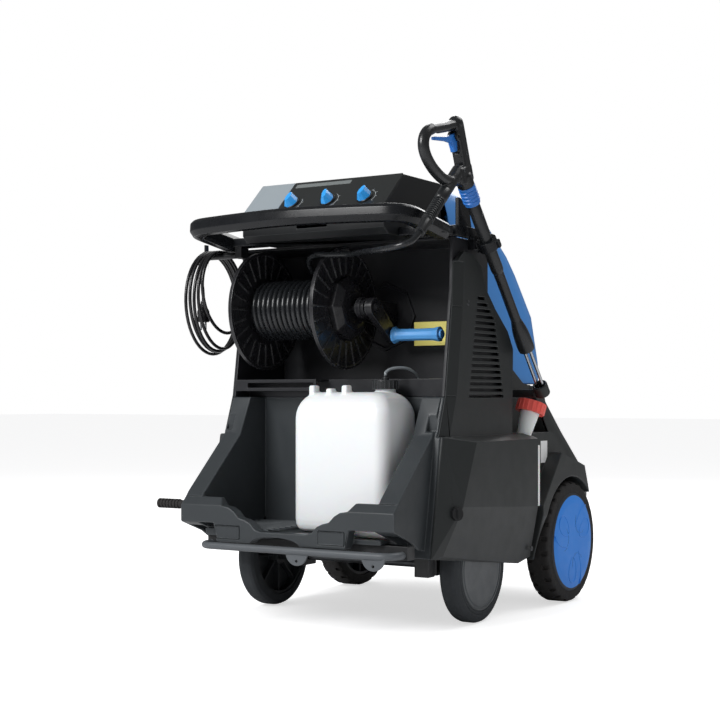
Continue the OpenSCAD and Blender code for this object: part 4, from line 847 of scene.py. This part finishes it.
fit(gland, "machine", "black_plastic", "cable_gland")
plug_top = (-0.34, -0.366, 0.74)
plug = turned("mains_plug_moulding", [
    (0.004, 0), (0.0058, 0), (0.0064, -0.003), (0.006, -0.004), (0.0072, -0.007), (0.0067, -0.008),
    (0.008, -0.011), (0.0075, -0.012), (0.009, -0.0155), (0.0125, -0.0195), (0.0146, -0.024),
    (0.0148, -0.03), (0.0138, -0.034), (0.0138, -0.04), (0.0149, -0.044), (0.0149, -0.0485),
    (0.0138, -0.0498), (0.004, -0.0498)], plug_top, (0, 0, 1), steps=48, closed=True, smooth=40)
pins = [turned("mains_pin", [(0, -0.049), (0.0024, -0.049), (0.0024, -0.0672), (0.0014, -0.0688), (0, -0.0688)],
               (plug_top[0] + x, *plug_top[1:]), (0, 0, 1), steps=24) for x in (-0.007, 0.007)]
pins = [painted(pin, bright_steel) for pin in pins]
plug = joined("mains_plug_moulding", [painted(plug, mains_rubber), *pins])
fit(plug, "machine", "black_plastic", "mains_plug")

cable_d, loops = 0.0078, 5
hook_y, loop_top = -0.335, 0.8582
loop_high = (0.084, 0.108, 0.122, 0.114, 0.123, 0.12)


def loop_height(t):
    """Half the height of the loop that the cable is in after t turns."""
    i = min(int(t), len(loop_high) - 2)
    f = t - i
    return loop_high[i] + (loop_high[i + 1] - loop_high[i]) * f * f * (3 - 2 * f)


def hung(t):
    """The cable's place after t turns round the hook, each loop wider and further out than the last."""
    a = math.radians(90 + 360 * t)
    out, half_width, below = -0.306 - 0.0085 * t, 0.08 + 0.0048 * t, 1 - math.sin(a)
    return (out, hook_y + 0.006 * below + half_width * math.cos(a), loop_top - loop_height(t) * below)


cable_line = [(-0.307, -0.212, 0.848)]
cable_line += smooth_route([(-0.307, -0.221, 0.848), (-0.307, -0.236, 0.8485), (-0.307, -0.256, 0.851),
                            (-0.3065, -0.285, 0.856), (-0.306, -0.312, 0.858)], 3)
cable_line += [hung(k / steps_round) for k in range(steps_round * loops + 1)]
cable_line += smooth_route([(-0.3488, -0.352, 0.8552), (-0.3488, -0.364, 0.8442), (-0.3488, -0.368, 0.828),
                            (-0.346, -0.367, 0.8), (-0.342, -0.366, 0.774), (-0.34, -0.366, 0.754)], 4)
cable_line += [plug_top]
mains_cable = painted(lay_cord("mains_cable_run", cable_line, cable_d), mains_rubber)
fit(mains_cable, "machine", "black_plastic", "mains_cable")

# ---- Small outside pieces ----
# A ribbed rubber peg on the left arm, a brass water inlet at the back, a small clear filter bowl
# lying beside the canister, a blank white plate on the rear body and the covers' screws.
coat(black_rubber, "side_peg")
brass = finish("brass", (176, 146, 84), (196, 166, 100), 0.3, grain=400, depth=0.00003, wear=0.3, Metallic=1)
coat(brass, "water_inlet")
coat(tank_white, "filter_bowl")
white_film = finish("white_film", (236, 238, 238), (242, 243, 243), 0.35, grain=200, depth=0.00002, wear=0.1,
                    worn=(250, 250, 250))
label = slab("blank_plate", (0.2996, 0.152, 0.35), (0.3006, 0.19, 0.404), 0.0003)
fit(painted(label, white_film), "machine", "light_panel")
cover_screw_r = 0.006
heads = joined("cover_screws", [
    screw("cover_screw", (x * side, y, z), (side, 0, 0), cover_screw_r)
    for x, y, z in ((0.3, -0.231, 0.721), (0.3205, 0.055, 0.15)) for side in (1, -1)])
fit(heads, "machine", "frame_steel")

# ---- Inside ----
# Motor and pump on the floor plate, the steel boiler with its flue under the hood, and the blower
# bolted to the boiler's flat seat.
motor_grey = finish("motor_grey", (88, 92, 96), (104, 108, 112), 0.5, grain=500, depth=0.0001, wear=0.4)
coat(motor_grey, "motor", "burner_blower")
cast_metal = finish("cast_metal", (150, 152, 154), (172, 174, 176), 0.45, grain=500, depth=0.0001, wear=0.3,
                    Metallic=0.9)
coat(cast_metal, "pump", "boiler")
